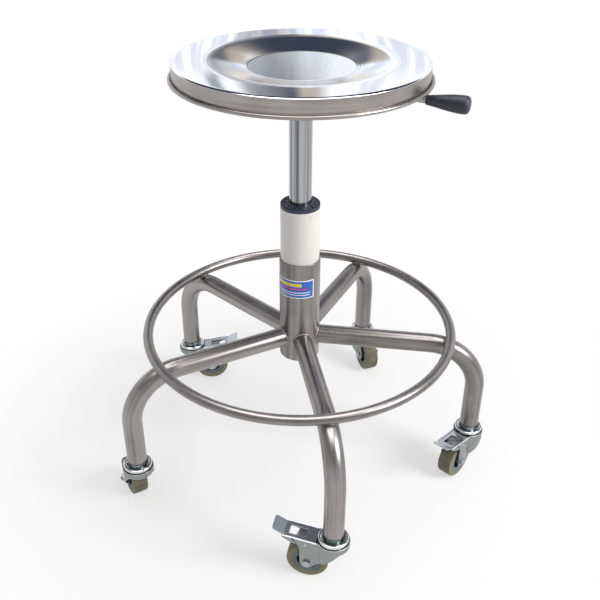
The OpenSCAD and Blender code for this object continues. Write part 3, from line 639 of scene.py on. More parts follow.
def rod(path, radius, sides=32):
    """Rings square to a path that never runs straight up, closed at each end by a bevel and a
    point. Each point keeps its place as if the rod were straight."""
    ahead = np.gradient(path, axis=0)
    ahead /= np.linalg.norm(ahead, axis=1)[:, None]
    side = np.cross(ahead, [0, 0, 1])
    side /= np.linalg.norm(side, axis=1)[:, None]
    above = np.cross(side, ahead)
    index = np.concatenate([[0, 0, 0], np.arange(1, len(path) - 1), [-1, -1, -1]])
    shrink = np.ones(len(index))
    shrink[[0, -1]], shrink[[1, -2]] = 0, 0.86
    inset = np.zeros(len(index))
    inset[2], inset[-3] = 0.14 * radius, -0.14 * radius
    centre = path[index] + inset[:, None] * ahead[index]
    angle = np.linspace(0, 2 * math.pi, sides, endpoint=False)[:, None]
    ring = np.cos(angle) * side[index][:, None] + np.sin(angle) * above[index][:, None]
    grid = centre[:, None] + radius * shrink[:, None, None] * ring
    length = np.concatenate([[0], np.cumsum(np.linalg.norm(np.diff(path, axis=0), axis=1))])
    place = np.stack([radius * np.cos(angle)[:, 0] + 0 * length[index][:, None],
                      radius * np.sin(angle)[:, 0] + 0 * length[index][:, None],
                      length[index][:, None] + 0 * angle[:, 0]], -1)
    return np.concatenate([grid, place], -1)


lever_path = rounded([
    (lever_tip, 0, lever_inner_z), (lever_crank, 0, lever_inner_z),
    crank_foot + outward * crank_run, crank_foot + outward * (knob_from_crank + into_knob)],
    [0, crank_bend, crank_bend, 0], 8)
boss_section = oblong(boss_bore, boss_radius, -boss_half, boss_half, [0.3, 0.5, 0.5, 0.3])
boss = turned(braced(boss_section), 64)[..., sideways] + np.array([lever_pivot, 0, lever_inner_z])
boss = np.concatenate([boss, boss], -1)
lever_finish = bright_chrome("lever_chrome", (0.30, 0.30, 0.32, 1), (0.72, 0.70, 0.68, 1), 0.14)
lever = solid("lever_bar", [skin(rod(lever_path, lever_radius), True), skin(boss, True, True)],
              lever_finish)
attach(lever, "lever")
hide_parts("lever_rod")

# Lever knob
# Moulded in near-black plastic and pressed on the bar's end. It swells from a thin neck to a round
# thick end.
knob_thin, knob_thick = 5.4, 10.25
swell = np.linspace(0, 1, 15)
knob_side = np.stack([knob_thin + (knob_thick - knob_thin) * np.sin(swell * math.pi / 2) ** 1.25,
                      0.8 + (knob_length - 6.5) * swell], -1)
knob_end = np.linspace(0, math.pi / 2, 9)[1:, None]
knob_cap = np.concatenate([knob_thick - 4.6 + 4.6 * np.cos(knob_end),
                           knob_length - 5.7 + 5.7 * np.sin(knob_end)], 1)
knob_section = np.concatenate([[[0, 0], [4.6, 0], [5.15, 0.2]], knob_side, knob_cap,
                               [[3, knob_length], [0, knob_length]]])
upright = turned(knob_section, 72)
knob_turn = np.array([[0, -outward[1], outward[0]], [0, outward[0], outward[1]], [-1, 0, 0]])
knob_grid = upright @ knob_turn.T + crank_foot + outward * knob_from_crank
knob_plastic, start = new_finish("knob_plastic", {"Specular IOR Level": 0.5})
fine = grain(coordinates(start), (900, 900, 900), 2.0)
handled = grain(coordinates(start), (60, 60, 60), 3.0)
dress(knob_plastic, {
    "Base Color": mixed(handled, (0.010, 0.013, 0.022, 1), (0.020, 0.024, 0.036, 1)),
    "Roughness": handled * 0.18 + 0.36,
    "Normal": bumps(fine, 0.00006, 0.4),
})
knob = solid("knob", [skin(knob_grid, True)], knob_plastic)
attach(knob, "lever")
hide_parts("lever_knob")

# Seat
# One disc of stainless sheet, pressed to a shallow dish and polished on top. Its skirt is satin,
# and its bottom edge is rolled outwards into a bead.
seat_radius, seat_rim, sheet_t = 146.2, 568.0, 1.2
dish_floor, dish_edge, dish_depth = 59.0, 112.5, 8.0
inner_ease, outer_ease = 4.5, 13.0
crown_radius, crown_fall, spun_depth = 120.0, 0.00028, 0.018
bead_reach, bead_level, bead_radius = 148.5, 548.8, 2.2
rim_width, rim_drop = 5.0, 1.5
polish_dark, polish_light = (0.76, 0.755, 0.75, 1), (0.86, 0.855, 0.85, 1)
brushed_dark, brushed_light = (0.66, 0.665, 0.67, 1), (0.76, 0.765, 0.77, 1)
satin_dark, satin_light = (0.27, 0.25, 0.237, 1), (0.39, 0.366, 0.348, 1)


def dish(radius):
    """Height of the seat's upper face: the running sum of a slope that rises over inner_ease from
    the flat disc, stays even and falls back to nothing over outer_ease. A fading sine at its foot
    is what the spinning left. Outside it the ring is crowned a little: it falls with the square of
    the distance from crown_radius."""
    fine = np.linspace(dish_floor, dish_edge, 1071)
    eases = np.minimum((fine - dish_floor) / inner_ease, (dish_edge - fine) / outer_ease)
    steep = np.clip(eases, 0, 1)
    risen = np.concatenate([[0], np.cumsum((steep[1:] + steep[:-1]) / 2)])
    climb = np.interp(radius, fine, risen / risen[-1] * dish_depth)
    near_foot = np.clip(1 - abs(radius - dish_floor - 6) / 7, 0, 1)
    spun = spun_depth * np.sin((radius - dish_floor) * 1.6) * near_foot
    crown = crown_fall * np.clip(radius - crown_radius, 0, None) ** 2
    return seat_rim - dish_depth + climb + spun - crown


top_radii = np.concatenate([
    np.linspace(0, dish_floor - 2, 10), np.linspace(dish_floor - 0.8, dish_floor + 15, 64),
    np.linspace(dish_floor + 16, dish_floor + 35, 14),
    np.linspace(dish_edge - 17.5, dish_edge + 4.5, 46),
    np.linspace(dish_edge + 6.5, seat_radius - rim_width - 0.4, 12)])
under_radii = np.array([144, 138, 120, 108, 105, 102, 98, 80, 66, 62, 60, 57, 30, 0.0])
skirt_levels = np.array([565.8, 560.0, 552.0, 550.0])
rim_arc = np.linspace(math.pi / 2, 0, 17)[:, None]
rim_level = dish(seat_radius - rim_width)
roll = np.radians(np.linspace(170, -158, 30))[:, None]
seat_section = np.concatenate([
    np.stack([top_radii, dish(top_radii)], -1),
    np.concatenate([seat_radius - rim_width + rim_width * np.cos(rim_arc),
                    rim_level - rim_drop + rim_drop * np.sin(rim_arc)], 1),
    np.stack([seat_radius + 0 * skirt_levels, skirt_levels], -1),
    np.concatenate([bead_reach + bead_radius * np.cos(roll),
                    bead_level + bead_radius * np.sin(roll)], 1),
    [[seat_radius - sheet_t, 549.2], [seat_radius - sheet_t, 564.6]],
    np.stack([under_radii, dish(under_radii) - sheet_t], -1)])
seat_steel, start = new_finish("seat_steel", {"Metallic": 1.0})
place = coordinates(start)
x, y, z = axes(place)
radius = from_axis(x, y)
polar = place.node("CombineXYZ", {}, {0: x / radius, 1: y / radius, 2: radius * 6.0})
rays = grain(polar, (46, 46, 1), 4.0)
rings = grain(place.node("CombineXYZ", {}, {0: radius}), (1600, 1, 1), 3.0)
straight = grain(place, (1500, 34, 1), 3.0)
clouds = grain(place, (14, 14, 14), 3.0)
scuffs = eased(grain(place, (40, 420, 1), 5.0), 0.63, 0.72)
disc = eased(radius * 1000, dish_floor - 0.5, dish_floor + 0.2, 1, 0)
sloped = between(radius * 1000, dish_floor + 1, dish_edge - 3.5, 1.5)
skirt = eased(z * 1000, seat_rim - 1.8, seat_rim - 1.1, 1, 0) \
    * eased(radius * 1000, seat_radius - 2.7, seat_radius - 1.7)
drawn = grain(place, (9, 9, 500), 3.0)
polish = mixed(clouds * 0.5 + rings * 0.25, polish_dark, polish_light)
brushed = mixed(eased(straight, 0.3, 0.7), brushed_dark, brushed_light)
satin = mixed(eased(drawn * 0.5 + clouds * 0.5, 0.34, 0.66), satin_dark, satin_light)
dress(seat_steel, {
    "Base Color": mixed(skirt, mixed(disc, polish, brushed), satin),
    "Roughness": (disc * (straight * 0.08 + 0.11) + (1 - disc) * (clouds * 0.05 + 0.04)
                  + sloped * 0.03 + scuffs * 0.04) * (1 - skirt) + skirt * (drawn * 0.1 + 0.26),
    "Normal": bumps((rays * sloped * 0.3 + straight * disc * 0.03) * (1 - skirt)
                    + drawn * skirt * 0.12, 0.0001, 0.3),
})
seat = solid("seat", [skin(turned(seat_section, 256), True)], seat_steel)
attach(seat, "seat")
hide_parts("seat_pan")

# Caster stems and cups
# A zinc-plated stem with a hexagon and a collar screws into a plug in each leg. Under it a dished
# raceway cup with a rolled bright rim turns on a ring of balls over the fork.
clothe(cad_zinc, "zinc_plate", "leg_plugs")
stem_zinc = zinc_plate("stem_zinc", coordinates, (0.20, 0.23, 0.215, 1), (0.44, 0.49, 0.455, 1),
                       0.26)
clothe(stem_zinc, "zinc_plate", "caster_stems")
clothe(ground_steel, "bearing_steel", "swivel_bearings")
cup_bowl_edge = 14.6
cup_dark, cup_light = (0.66, 0.655, 0.66, 1), (0.84, 0.83, 0.83, 1)
# painted shade: the colour of the cup's bowl, darker than its chrome, stands for the shade in the
# hollow
cup_bowl_shade = (0.30, 0.31, 0.35, 1)
cup_outline = rounded([
    (6.05, 60.0), (16.4, 60.0), (16.7, 61.03), (18.77, 61.03), (18.77, 65.77),
    (cup_bowl_edge, 65.77), (14.55, 63.0), (12.6, 62.0), (6.05, 62.0)],
    [0, 0.5, 0.2, 2.0, 2.05, 2.05, 0.7, 1.5, 0], 8)
cup_chrome, start = new_finish("cup_chrome", {"Metallic": 1.0})
x, y, _ = axes(along_surface(start))
clouds = grain(coordinates(start), (70, 70, 70), 3.0)
# painted shade: inside the rim the bowl is coloured dark and made rougher, as the shade in the
# cup's hollow
bowl_shade_mask = eased(from_axis(x, y) * 1000, cup_bowl_edge - 0.8, cup_bowl_edge + 0.4, 1, 0)
dress(cup_chrome, {
    "Base Color": mixed(bowl_shade_mask, mixed(clouds, cup_dark, cup_light), cup_bowl_shade),
    "Roughness": clouds * 0.08 + 0.1 + bowl_shade_mask * 0.12,
})
cup_grid = turned(braced(cup_outline), 72)
cup_rims = solid("cups", [
    skin(np.concatenate([placed(cup_grid, 0, *swivels[name][:2]), cup_grid], -1), True, True)
    for name in casters], cup_chrome)
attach(cup_rims, "base")
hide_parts("raceway_cups")

# Caster forks
# Each fork is one blank of zinc-plated sheet, pressed to a channel with a round nose, whose sides
# run down to lobes at the axle. Those of the three braked casters run back beside the pedal.
fork_half, fork_sheet, nose_radius, crease = 13.6, 1.8, 20.4, 3.0
wheel_radius, lobe_radius = 26.0, 8.5
nose_high, web_low, web_high = 60.6, 52.5, 55.0
edge_start, tip_round = 14.0, 1.3
edge_x, edge_high, edge_slope = 61.0, 67.5, math.tan(math.radians(8))
fork_dark, fork_light = (0.24, 0.25, 0.245, 1), (0.36, 0.37, 0.365, 1)
# painted highlight: near-white colour for the upper edges of the fork's sides
fork_edge_highlight = (0.90, 0.91, 0.95, 1)
braked = [name for name in casters if "brake_press_" + name in joints]
headings = {name: math.atan2(*(axles[name] - swivels[name])[[1, 0]]) for name in casters}
trails = {name: np.linalg.norm((axles[name] - swivels[name])[:2]) for name in casters}
crease_x = math.sqrt((nose_radius + crease) ** 2 - (fork_half + crease) ** 2)


def spread(points, count):
    """Points spread evenly by length along a line of points."""
    run = np.concatenate([[0], np.cumsum(np.linalg.norm(np.diff(points, axis=0), axis=1))])
    at = np.linspace(0, run[-1], count)
    return np.stack([np.interp(at, run, points[:, k]) for k in range(2)], -1)


def fork_band(trail, back, high_x, high):
    """One half of the fork is a band of columns from its lower to its upper edge. The lower edge
    follows the outline back, goes round the lobe, and rises on a line that touches the lobe, to
    the web's height. The plan goes along the flat side, round a small crease and round the nose.
    Each column is a strip of the sheet's thickness with rounded edges, and the other half is the
    same band mirrored."""
    knee = np.array([-11, web_low])
    reach_x, reach_z = trail - knee[0], wheel_radius - knee[1]
    far = math.hypot(reach_x, reach_z)
    lean = math.atan2(reach_z, reach_x) - math.asin(lobe_radius / far)
    lobe = np.linspace(0, lean - math.pi / 2, 26)[:, None]
    touch_x = trail + lobe_radius * math.sin(lean)
    climb = np.linspace(touch_x, crease_x, 8)[1:]

    def low_edge(x):
        return web_low + np.clip(x - knee[0], 0, None) * math.tan(lean)

    low = np.concatenate([
        spread(back, 44), np.concatenate([trail + lobe_radius * np.cos(lobe),
                                          wheel_radius + lobe_radius * np.sin(lobe)], 1)[1:],
        np.stack([climb, low_edge(climb)], -1)])
    run = np.concatenate([[0], np.cumsum(np.linalg.norm(np.diff(low, axis=0), axis=1))])
    above = np.interp(run, run[[0, 8, 43, 68, -1]], [*high_x, crease_x])
    bow = np.linspace(math.pi / 2, math.pi / 2 + math.acos(
        (fork_half + crease) / (nose_radius + crease)), 7)[1:]
    nose = np.linspace(math.atan2(-(fork_half + crease), crease_x), -math.pi, 48)
    plan = np.concatenate([
        np.stack([crease_x + crease * np.cos(bow), crease * np.sin(bow) - fork_half - crease], -1),
        nose_radius * np.stack([np.cos(nose), np.sin(nose)], -1)])
    flat = np.zeros(len(low))
    low_line = np.concatenate([
        np.stack([low[:, 0], flat - fork_half, low[:, 1]], -1),
        np.concatenate([plan, low_edge(plan[:, :1])], 1)])
    high_line = np.concatenate([
        np.stack([above, flat - fork_half, high(above)], -1),
        np.concatenate([plan, high(plan[:, :1])], 1)])
    out = np.concatenate([
        np.stack([flat, flat - 1, flat], -1),
        np.stack([-np.cos(bow), -np.sin(bow), 0 * bow], -1),
        np.stack([np.cos(nose), np.sin(nose), 0 * nose], -1)])
    low_line, high_line, out = (
        np.concatenate([line, line[-2::-1] * np.array([1, -1, 1])])
        for line in (low_line, high_line, out))
    edge, corner = 0.86, np.linspace(0, math.pi / 2, 4)
    edge_cos, edge_sin = edge * np.cos(corner), edge * np.sin(corner)
    depth = np.concatenate([edge - edge_cos, fork_sheet - edge + edge_sin])
    inset = np.concatenate([edge - edge_sin, edge - edge_cos])
    depth, inset = np.concatenate([depth, depth[::-1]]), np.concatenate([inset, -inset[::-1]])
    share = np.repeat([0.0, 1.0], 8)[:, None]
    rise = high_line - low_line
    unit = rise / np.linalg.norm(rise, axis=1)[:, None]
    return (low_line[:, None] + share * rise[:, None] + inset[:, None] * unit[:, None]
            - depth[:, None] * out[:, None])


def sloping_edge(x):
    """Upper edge of a braked fork: level round the nose and sloping beside the pedal, where its
    end falls away on a quarter circle."""
    line = edge_high - (edge_x - x) * edge_slope
    past = np.clip(x - edge_x + tip_round, 0, tip_round)
    tip = tip_round - np.sqrt(np.clip(tip_round ** 2 - past ** 2, 0, None))
    return nose_high + (line - nose_high) * np.clip((x - edge_start) / 2.5, 0, 1) - tip


def level_edge(x):
    """Upper edge of a fork without a brake."""
    return nose_high + 0 * x


def in_caster(grid, name):
    """A grid drawn with the swivel axis on Z and the wheel towards +X, put at one of the casters,
    with its own coordinates kept as its place."""
    x, y = swivels[name][:2]
    return np.concatenate([placed(grid, headings[name], x, y), grid], -1)


lip_outline = rounded([(edge_x, 66.1), (edge_x, 64), (51.5, 58.4), (38.5, 53.15), (38.5, 26)],
                      [0, 0.8, 4, 6, 0], 8)
web_section = oblong(6.1, nose_radius - fork_sheet - 0.1, web_low, web_high, [0.2, 0, 0, 0.2])
web_disc = turned(braced(web_section), 72)
fork_zinc = zinc_plate("fork_zinc", along_surface, fork_dark, fork_light, 0.24)
shader = fork_zinc.node_tree.nodes["Principled BSDF"]
start = Shade(fork_zinc.node_tree)
x, y, z = axes(along_surface(start))
plain_tone = Shade(start.tree, shader.inputs["Base Color"].links[0].from_socket)
raised = (z - x * edge_slope) * 1000 - (edge_high - edge_x * edge_slope)
# painted highlight: the upper edges of the fork's sides, behind the nose, are coloured near white,
# as light caught along them
edge_highlight_mask = eased(raised, -1.2, -0.4) * eased(x * 1000, 16, 20)
dress(fork_zinc, {"Base Color": mixed(edge_highlight_mask, plain_tone, fork_edge_highlight)})
for name in casters:
    if name in braked:
        band = fork_band(trails[name], lip_outline, [edge_x, 57, 40, 25], sloping_edge)
    else:
        back_x = trails[name] + lobe_radius
        plain_outline = rounded([(20.5, 59.9), (back_x, 34), (back_x, wheel_radius)], [0, 6, 0], 6)
        band = fork_band(trails[name], plain_outline, [20.5, 20.1, 18.5, 17.2], level_edge)
    fork = solid("fork_shell_" + name, [
        skin(in_caster(band, name), True, False, True),
        skin(in_caster(web_disc, name), True, True)], fork_zinc)
    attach(fork, "swivel_" + name)
    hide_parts("fork_" + name)

# Axles
# A zinc-plated hexagon bolt goes through the fork's lobes and the wheel, with a nut that its thread
# stands out of. Those of the braked casters go in from the other side.
bolt_radius, bolt_across, bolt_head = 3.0, 8.8, 2.6
nut_height, thread_out = 4.0, 2.4


def hexagon(across, low, high, sides=96):
    """A hexagonal block: its radius is half its width over the cosine of the angle from the middle
    of the nearest flat, and its top falls away outside a circle at 30 degrees."""
    angle = np.linspace(0, 2 * math.pi, sides, endpoint=False)
    flat = across / 2 / np.cos((angle + math.pi / 6) % (math.pi / 3) - math.pi / 6)
    ring = 0 * angle + across / 2 * 0.96
    fall = (flat - ring) * math.tan(math.pi / 6)
    radius = np.stack([0 * angle, ring, flat, flat, ring, 0 * angle])
    height = np.stack([0 * angle + high, 0 * angle + high, high - fall, 0 * angle + low + 0.01,
                       0 * angle + low, 0 * angle + low])
    return np.stack([radius * np.cos(angle), radius * np.sin(angle), height], -1)


ridges = np.arange(7)
thread = np.stack([np.where(ridges % 2, bolt_radius - 0.35, bolt_radius - 0.03),
                   fork_half + nut_height + thread_out - 0.5 - 0.42 * ridges], -1)
shank_section = np.concatenate([
    [[0, fork_half + nut_height + thread_out], [2.3, fork_half + nut_height + thread_out]], thread,
    [[bolt_radius - 0.05, fork_half], [bolt_radius - 0.05, -fork_half], [0, -fork_half]]])
head = hexagon(bolt_across, fork_half, fork_half + bolt_head)[..., sideways] * np.array([1, -1, 1])
nut = hexagon(bolt_across, fork_half, fork_half + nut_height)[..., sideways]
shank = turned(shank_section, 48)[..., sideways]
bolt_zinc = zinc_plate("bolt_zinc", along_surface, (0.28, 0.29, 0.31, 1), (0.60, 0.62, 0.63, 1),
                       0.16)
to_axle = {name: np.array([trails[name], 0, wheel_radius]) for name in casters}
for name in casters:
    from_side = np.array([1, -1 if name in braked else 1, 1])
    axle = solid("axle_bolt_" + name, [
        skin(in_caster(part * from_side + to_axle[name], name), True)
        for part in (head, nut, shank)], bolt_zinc)
    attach(axle, "swivel_" + name)
    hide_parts("axle_" + name)

# Wheel cores
# Each core is moulded in blue-grey plastic, with a long hub on the axle, a thin web and a wide rim
# that the tyre is moulded on.
core_radius, core_half = 18.5, 9.5
core_dark, core_light = (0.088, 0.108, 0.132, 1), (0.145, 0.17, 0.198, 1)
# painted shade: near-black colour for the core's recess
core_recess_shade = (0.022, 0.024, 0.03, 1)
core_section = rounded([
    (3.06, -11.4), (6.0, -11.4), (6.2, -3.2), (11.9, -3), (12.9, -core_half),
    (core_radius, -core_half), (core_radius, core_half), (12.9, core_half), (11.9, 3), (6.2, 3.2),
    (6.0, 11.4), (3.06, 11.4)], [0.2, 0.4, 1, 1, 0.6, 0.3, 0.3, 0.6, 1, 1, 0.4, 0.2])
core_grid = turned(braced(core_section), 72)[..., sideways]
core_plastic, start = new_finish("core_plastic", {"Specular IOR Level": 0.4})
x, y, z = axes(along_surface(start))
dust = grain(coordinates(start), (120, 120, 120), 4.0)
# painted shade: all of the core more than about 1.7 mm inside its rim faces, the recess between hub
# and rim, is coloured near black, as the shade in it
recess_shade_mask = eased(start.maths("ABSOLUTE", y) * 1000, core_half - 1.7, core_half - 0.3, 1, 0)
dress(core_plastic, {
    "Base Color": mixed(recess_shade_mask, mixed(dust, core_dark, core_light), core_recess_shade),
    "Roughness": dust * 0.2 + 0.42,
    "Normal": bumps(dust, 0.00008, 0.3),
})
for name in casters:
    core = solid("wheel_core_" + name, [
        skin(in_caster(core_grid + to_axle[name], name), True, True)], core_plastic)
    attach(core, "roller_" + name)
    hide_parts("wheel_" + name)

# Tyres
# Grey-olive rubber moulded round the core, with a flat tread and paler sides. The tread's darker
# colour is painted shade.
tyre_half, shoulder = 10.0, 1.9
side_dark, side_pale = (0.155, 0.138, 0.088, 1), (0.235, 0.212, 0.145, 1)
# painted shade: the tread's colours are darker than the sides', as the shade on it
tread_shade_dark, tread_shade_pale = (0.085, 0.077, 0.056, 1), (0.165, 0.15, 0.112, 1)
tyre_section = rounded([
    (core_radius + 0.02, -tyre_half + 0.4), (core_radius + 0.8, -tyre_half),
    (wheel_radius - 0.25, -tyre_half), (wheel_radius, 0), (wheel_radius - 0.25, tyre_half),
    (core_radius + 0.8, tyre_half), (core_radius + 0.02, tyre_half - 0.4)],
    [0, 0.3, shoulder, 30, shoulder, 0.3, 0], 6)
tyre_grid = turned(braced(tyre_section), 96)[..., sideways]
tyre_rubber, start = new_finish("tyre_rubber", {"Specular IOR Level": 0.35})
place = along_surface(start)
x, y, z = axes(place)
dust = grain(coordinates(start), (90, 90, 90), 4.0)
rubbed = grain(place, (900, 40, 900), 3.0)
tread = eased(start.maths("ABSOLUTE", y) * 1000, tyre_half - 1.6, tyre_half - 0.4, 1, 0)
side_colour = mixed(dust, side_dark, side_pale)
# painted shade: the tread is coloured darker than the sides; its rubbed streaks are wear
tread_shade_colour = mixed(eased(rubbed * 0.5 + dust * 0.5, 0.36, 0.62), tread_shade_dark, tread_shade_pale)
dress(tyre_rubber, {
    "Base Color": mixed(tread, side_colour, tread_shade_colour),
    "Roughness": dust * 0.2 + 0.5,
    "Normal": bumps(rubbed * 0.5 + dust * 0.5, 0.0001, 0.4),
})
for name in casters:
    tyre = solid("tyre_ring_" + name, [
        skin(in_caster(tyre_grid + to_axle[name], name), True, True)], tyre_rubber)
    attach(tyre, "roller_" + name)
    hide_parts("tyre_" + name)

# Brake pedals
# Each pedal is a zinc-plated plate with a window and a bent-up tab for the foot. Two ears under its
# edges turn on pins in the fork's sides.
pivot_x, pivot_z, pedal_tilt = 32.0, 56.5, math.radians(8)
pedal_top, pedal_sheet = 5.95, 1.6
pedal_front, bend_start, tab_turn = -12.0, 26.5, math.radians(21)
pedal_half, tab_end = 11.5, 44.4
window_end, window_half = 22.0, 6.4
bend_round, plate_edge, face_rows = 3.0, 0.4, 26
pin_radius, pin_dome, ear_radius, ear_sheet = 2.0, 0.75, 4.6, 1.2


def first_hit(outline, centre, angles):
    """How far an outline lies from a centre in each direction: the nearest crossing of the ray
    with any of the outline's edges."""
    start = outline - centre
    edge = np.roll(start, -1, axis=0) - start
    ray = np.stack([np.cos(angles), np.sin(angles)], -1)[:, None]
    across = ray[..., 0] * edge[:, 1] - ray[..., 1] * edge[:, 0]
    across = np.where(abs(across) < 1e-12, 1e-12, across)
    far = (start[:, 0] * edge[:, 1] - start[:, 1] * edge[:, 0]) / across
    part = (start[:, 0] * ray[..., 1] - start[:, 1] * ray[..., 0]) / across
    hit = (far > 0) & (part > -1e-9) & (part < 1 + 1e-9)
    return np.where(hit, far, 1e9).min(axis=1)


def in_pivot(points):
    """Points (along, across, up) of the pedal's own tilted frame, put in the caster's."""
    u, v, w = points[..., 0], points[..., 1], points[..., 2]
    return np.stack([pivot_x + u * math.cos(pedal_tilt) - w * math.sin(pedal_tilt), v,
                     pivot_z + u * math.sin(pedal_tilt) + w * math.cos(pedal_tilt)], -1)


def pedal_grid():
    """The plate with its window is a ring: rays from the window's middle run from the window's
    outline to the plate's, over the upper face, round the outer edge, back below and round the
    inner edge. It is then bent: beyond the bend line, length along the plate goes round an arc
    and on up the tab."""
    plate = oblong(pedal_front, tab_end, -pedal_half, pedal_half, [0.8, 3.0, 3.0, 0.8], 6)
    hole = oblong(0, window_end, -window_half, window_half, [0.9] * 4)
    middle = np.array([window_end / 2, 0.0])
    angles = np.unique(np.round(np.concatenate([
        np.linspace(-math.pi, math.pi, 145)[:-1],
        np.arctan2(plate[:, 1], plate[:, 0] - middle[0]),
        np.arctan2(hole[:, 1], hole[:, 0] - middle[0])]), 5))
    inner, outer = first_hit(hole, middle, angles), first_hit(plate, middle, angles)
    edge = plate_edge
    bow = np.linspace(0, math.pi / 2, 4)[:, None]
    share = np.linspace(0, 1, face_rows)[:, None]
    face = inner + edge + (outer - inner - 2 * edge) * share
    rim_out = outer - edge + edge * np.sin(bow)
    rim_in = inner + edge - edge * np.sin(bow)
    top, low = pedal_top, pedal_top - pedal_sheet
    radius = np.concatenate([face, rim_out[1:], rim_out[::-1], face[::-1][1:], rim_in[1:],
                             rim_in[::-1][:-1]])
    height = np.concatenate([
        np.full(face_rows, top), (top - edge + edge * np.cos(bow[1:]))[:, 0],
        (low + edge - edge * np.cos(bow[::-1]))[:, 0], np.full(face_rows - 1, low),
        (low + edge - edge * np.cos(bow[1:]))[:, 0],
        (top - edge + edge * np.cos(bow[::-1][:-1]))[:, 0]])
    length = middle[0] + radius * np.cos(angles)
    width = radius * np.sin(angles)
    middle_height = (top + low) / 2
    beyond = length - bend_start
    turned_by = np.clip(beyond / bend_round, 0, tab_turn)
    straight = np.clip(beyond - bend_round * tab_turn, 0, None)
    along = np.where(beyond > 0, bend_start + bend_round * np.sin(turned_by)
                     + straight * np.cos(tab_turn), length)
    risen = bend_round * (1 - np.cos(turned_by)) + straight * np.sin(tab_turn)
    off = height[:, None] - middle_height
    return np.stack([along - off * np.sin(turned_by), width,
                     middle_height + risen + off * np.cos(turned_by)], -1)


def slab(outline, thickness, edge, middle):
    """A flat block from an outline (x, z): rings of it at steps along Y, the outermost ones drawn
    in by the edge's rounding towards the outline's middle."""
    away = outline - np.array(middle)
    away = away / np.linalg.norm(away, axis=1)[:, None]
    inset = np.array([edge, edge * 0.3, 0, 0, edge * 0.3, edge])[:, None, None]
    at = np.array([0, edge * 0.3, edge, thickness - edge, thickness - edge * 0.3, thickness])
    ring = outline - inset * away
    return np.stack([ring[..., 0], at[:, None] + 0 * ring[..., 0], ring[..., 1]], -1)


ear_turn = np.radians(np.linspace(0, -180, 17))
ear_high = pedal_top - pedal_sheet + 0.4
ear_outline = np.concatenate([
    ear_radius * np.stack([np.cos(ear_turn), np.sin(ear_turn)], -1),
    [[-ear_radius, ear_high], [ear_radius, ear_high]]])
dome = np.linspace(0.2, math.pi / 2, 7)
pin_section = np.concatenate([
    [[0, pedal_half - 1], [pin_radius, pedal_half - 1], [pin_radius, fork_half + 0.1]],
    np.stack([pin_radius * np.cos(dome), fork_half - 0.05 + pin_dome * np.sin(dome)], -1)])
pin_section[-1, 0] = 0
ears, pins = [], []
for side in (-1, 1):
    mirror = np.array([1, side, 1])
    ears.append(in_pivot((slab(ear_outline, ear_sheet, 0.25, (0, 1))
                          + np.array([0, pedal_half - ear_sheet, 0])) * mirror))
    pins.append(in_pivot(turned(pin_section, 32)[..., sideways] * mirror))
pedal_plate = in_pivot(pedal_grid())
pedal_zinc = zinc_plate("pedal_zinc", along_surface, (0.42, 0.44, 0.465, 1),
                        (0.60, 0.62, 0.65, 1), 0.25)
for name in braked:
    pedal = solid("pedal_plate_" + name, [
        skin(in_caster(pedal_plate, name), True, True),
        *[skin(in_caster(ear, name), True, False, True) for ear in ears],
        *[skin(in_caster(pin, name), True) for pin in pins]], pedal_zinc)
    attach(pedal, "brake_" + name)
    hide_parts("pedal_" + name)

# Brake leaves
# A strip of darker spring steel, flat under each pedal, whose end is bent down behind the tyre's
# top and shows through the window.
leaf_sheet, leaf_half, leaf_turn = 1.2, 5.9, math.radians(80)
leaf_low = pedal_top - pedal_sheet - leaf_sheet
leaf_bend, leaf_run = 11.0, 11.2
tip_u = leaf_bend + leaf_run * math.cos(leaf_turn)
tip_w = leaf_low - leaf_run * math.sin(leaf_turn)
leaf_line = rounded([(pedal_front + 1, leaf_low), (leaf_bend - 0.9, leaf_low), (tip_u, tip_w)],
                    [0, 1.6, 0], 10)
leaf_ahead = np.gradient(leaf_line, axis=0)
leaf_ahead /= np.linalg.norm(leaf_ahead, axis=1)[:, None]
leaf_up = np.stack([-leaf_ahead[:, 1], leaf_ahead[:, 0]], -1)
leaf_loop = oblong(-leaf_half, leaf_half, 0, leaf_sheet, [0.3] * 4, 3)
leaf_band = in_pivot(np.stack([
    leaf_line[:, :1] + leaf_up[:, :1] * leaf_loop[:, 1],
    leaf_loop[:, 0] + 0 * leaf_line[:, :1],
    leaf_line[:, 1:] + leaf_up[:, 1:] * leaf_loop[:, 1]], -1))
leaf_steel = speckled("leaf_steel", {"Metallic": 0.9}, (0.17, 0.175, 0.185, 1),
                      (0.33, 0.335, 0.345, 1), (0.3, 0.2), ((200, 500, 200), 3.0),
                      (0.00006, 0.4), along_surface)
for name in braked:
    leaf = solid("brake_strip_" + name, [skin(in_caster(leaf_band, name), True, False, True)],
                 leaf_steel)
    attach(leaf, "brake_" + name)
    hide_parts("leaf_" + name)

# Studio
# A white floor that goes over into a white surrounding, one soft lamp at the right, and a
# reflection tent that only shiny surfaces see: bright low down, with a few upright grey and beige
# cards, dark above them, and with a lit band high up.
floor_rows = np.array([0.0, 300.0, 800.0, 1500.0, 3000.0, 6000.0])
floor_grid = turned(np.stack([floor_rows, 0 * floor_rows], -1), 96)


def watched(start):
    """1 for a ray from the camera, also by way of metal or glass, and 0 for any other."""
    seen, glossy, through = (start.node("LightPath", {}, {}, "Is %s Ray" % kind)
                             for kind in ("Camera", "Glossy", "Transmission"))
    return start.maths("MAXIMUM", seen, start.maths("MAXIMUM", glossy, through))


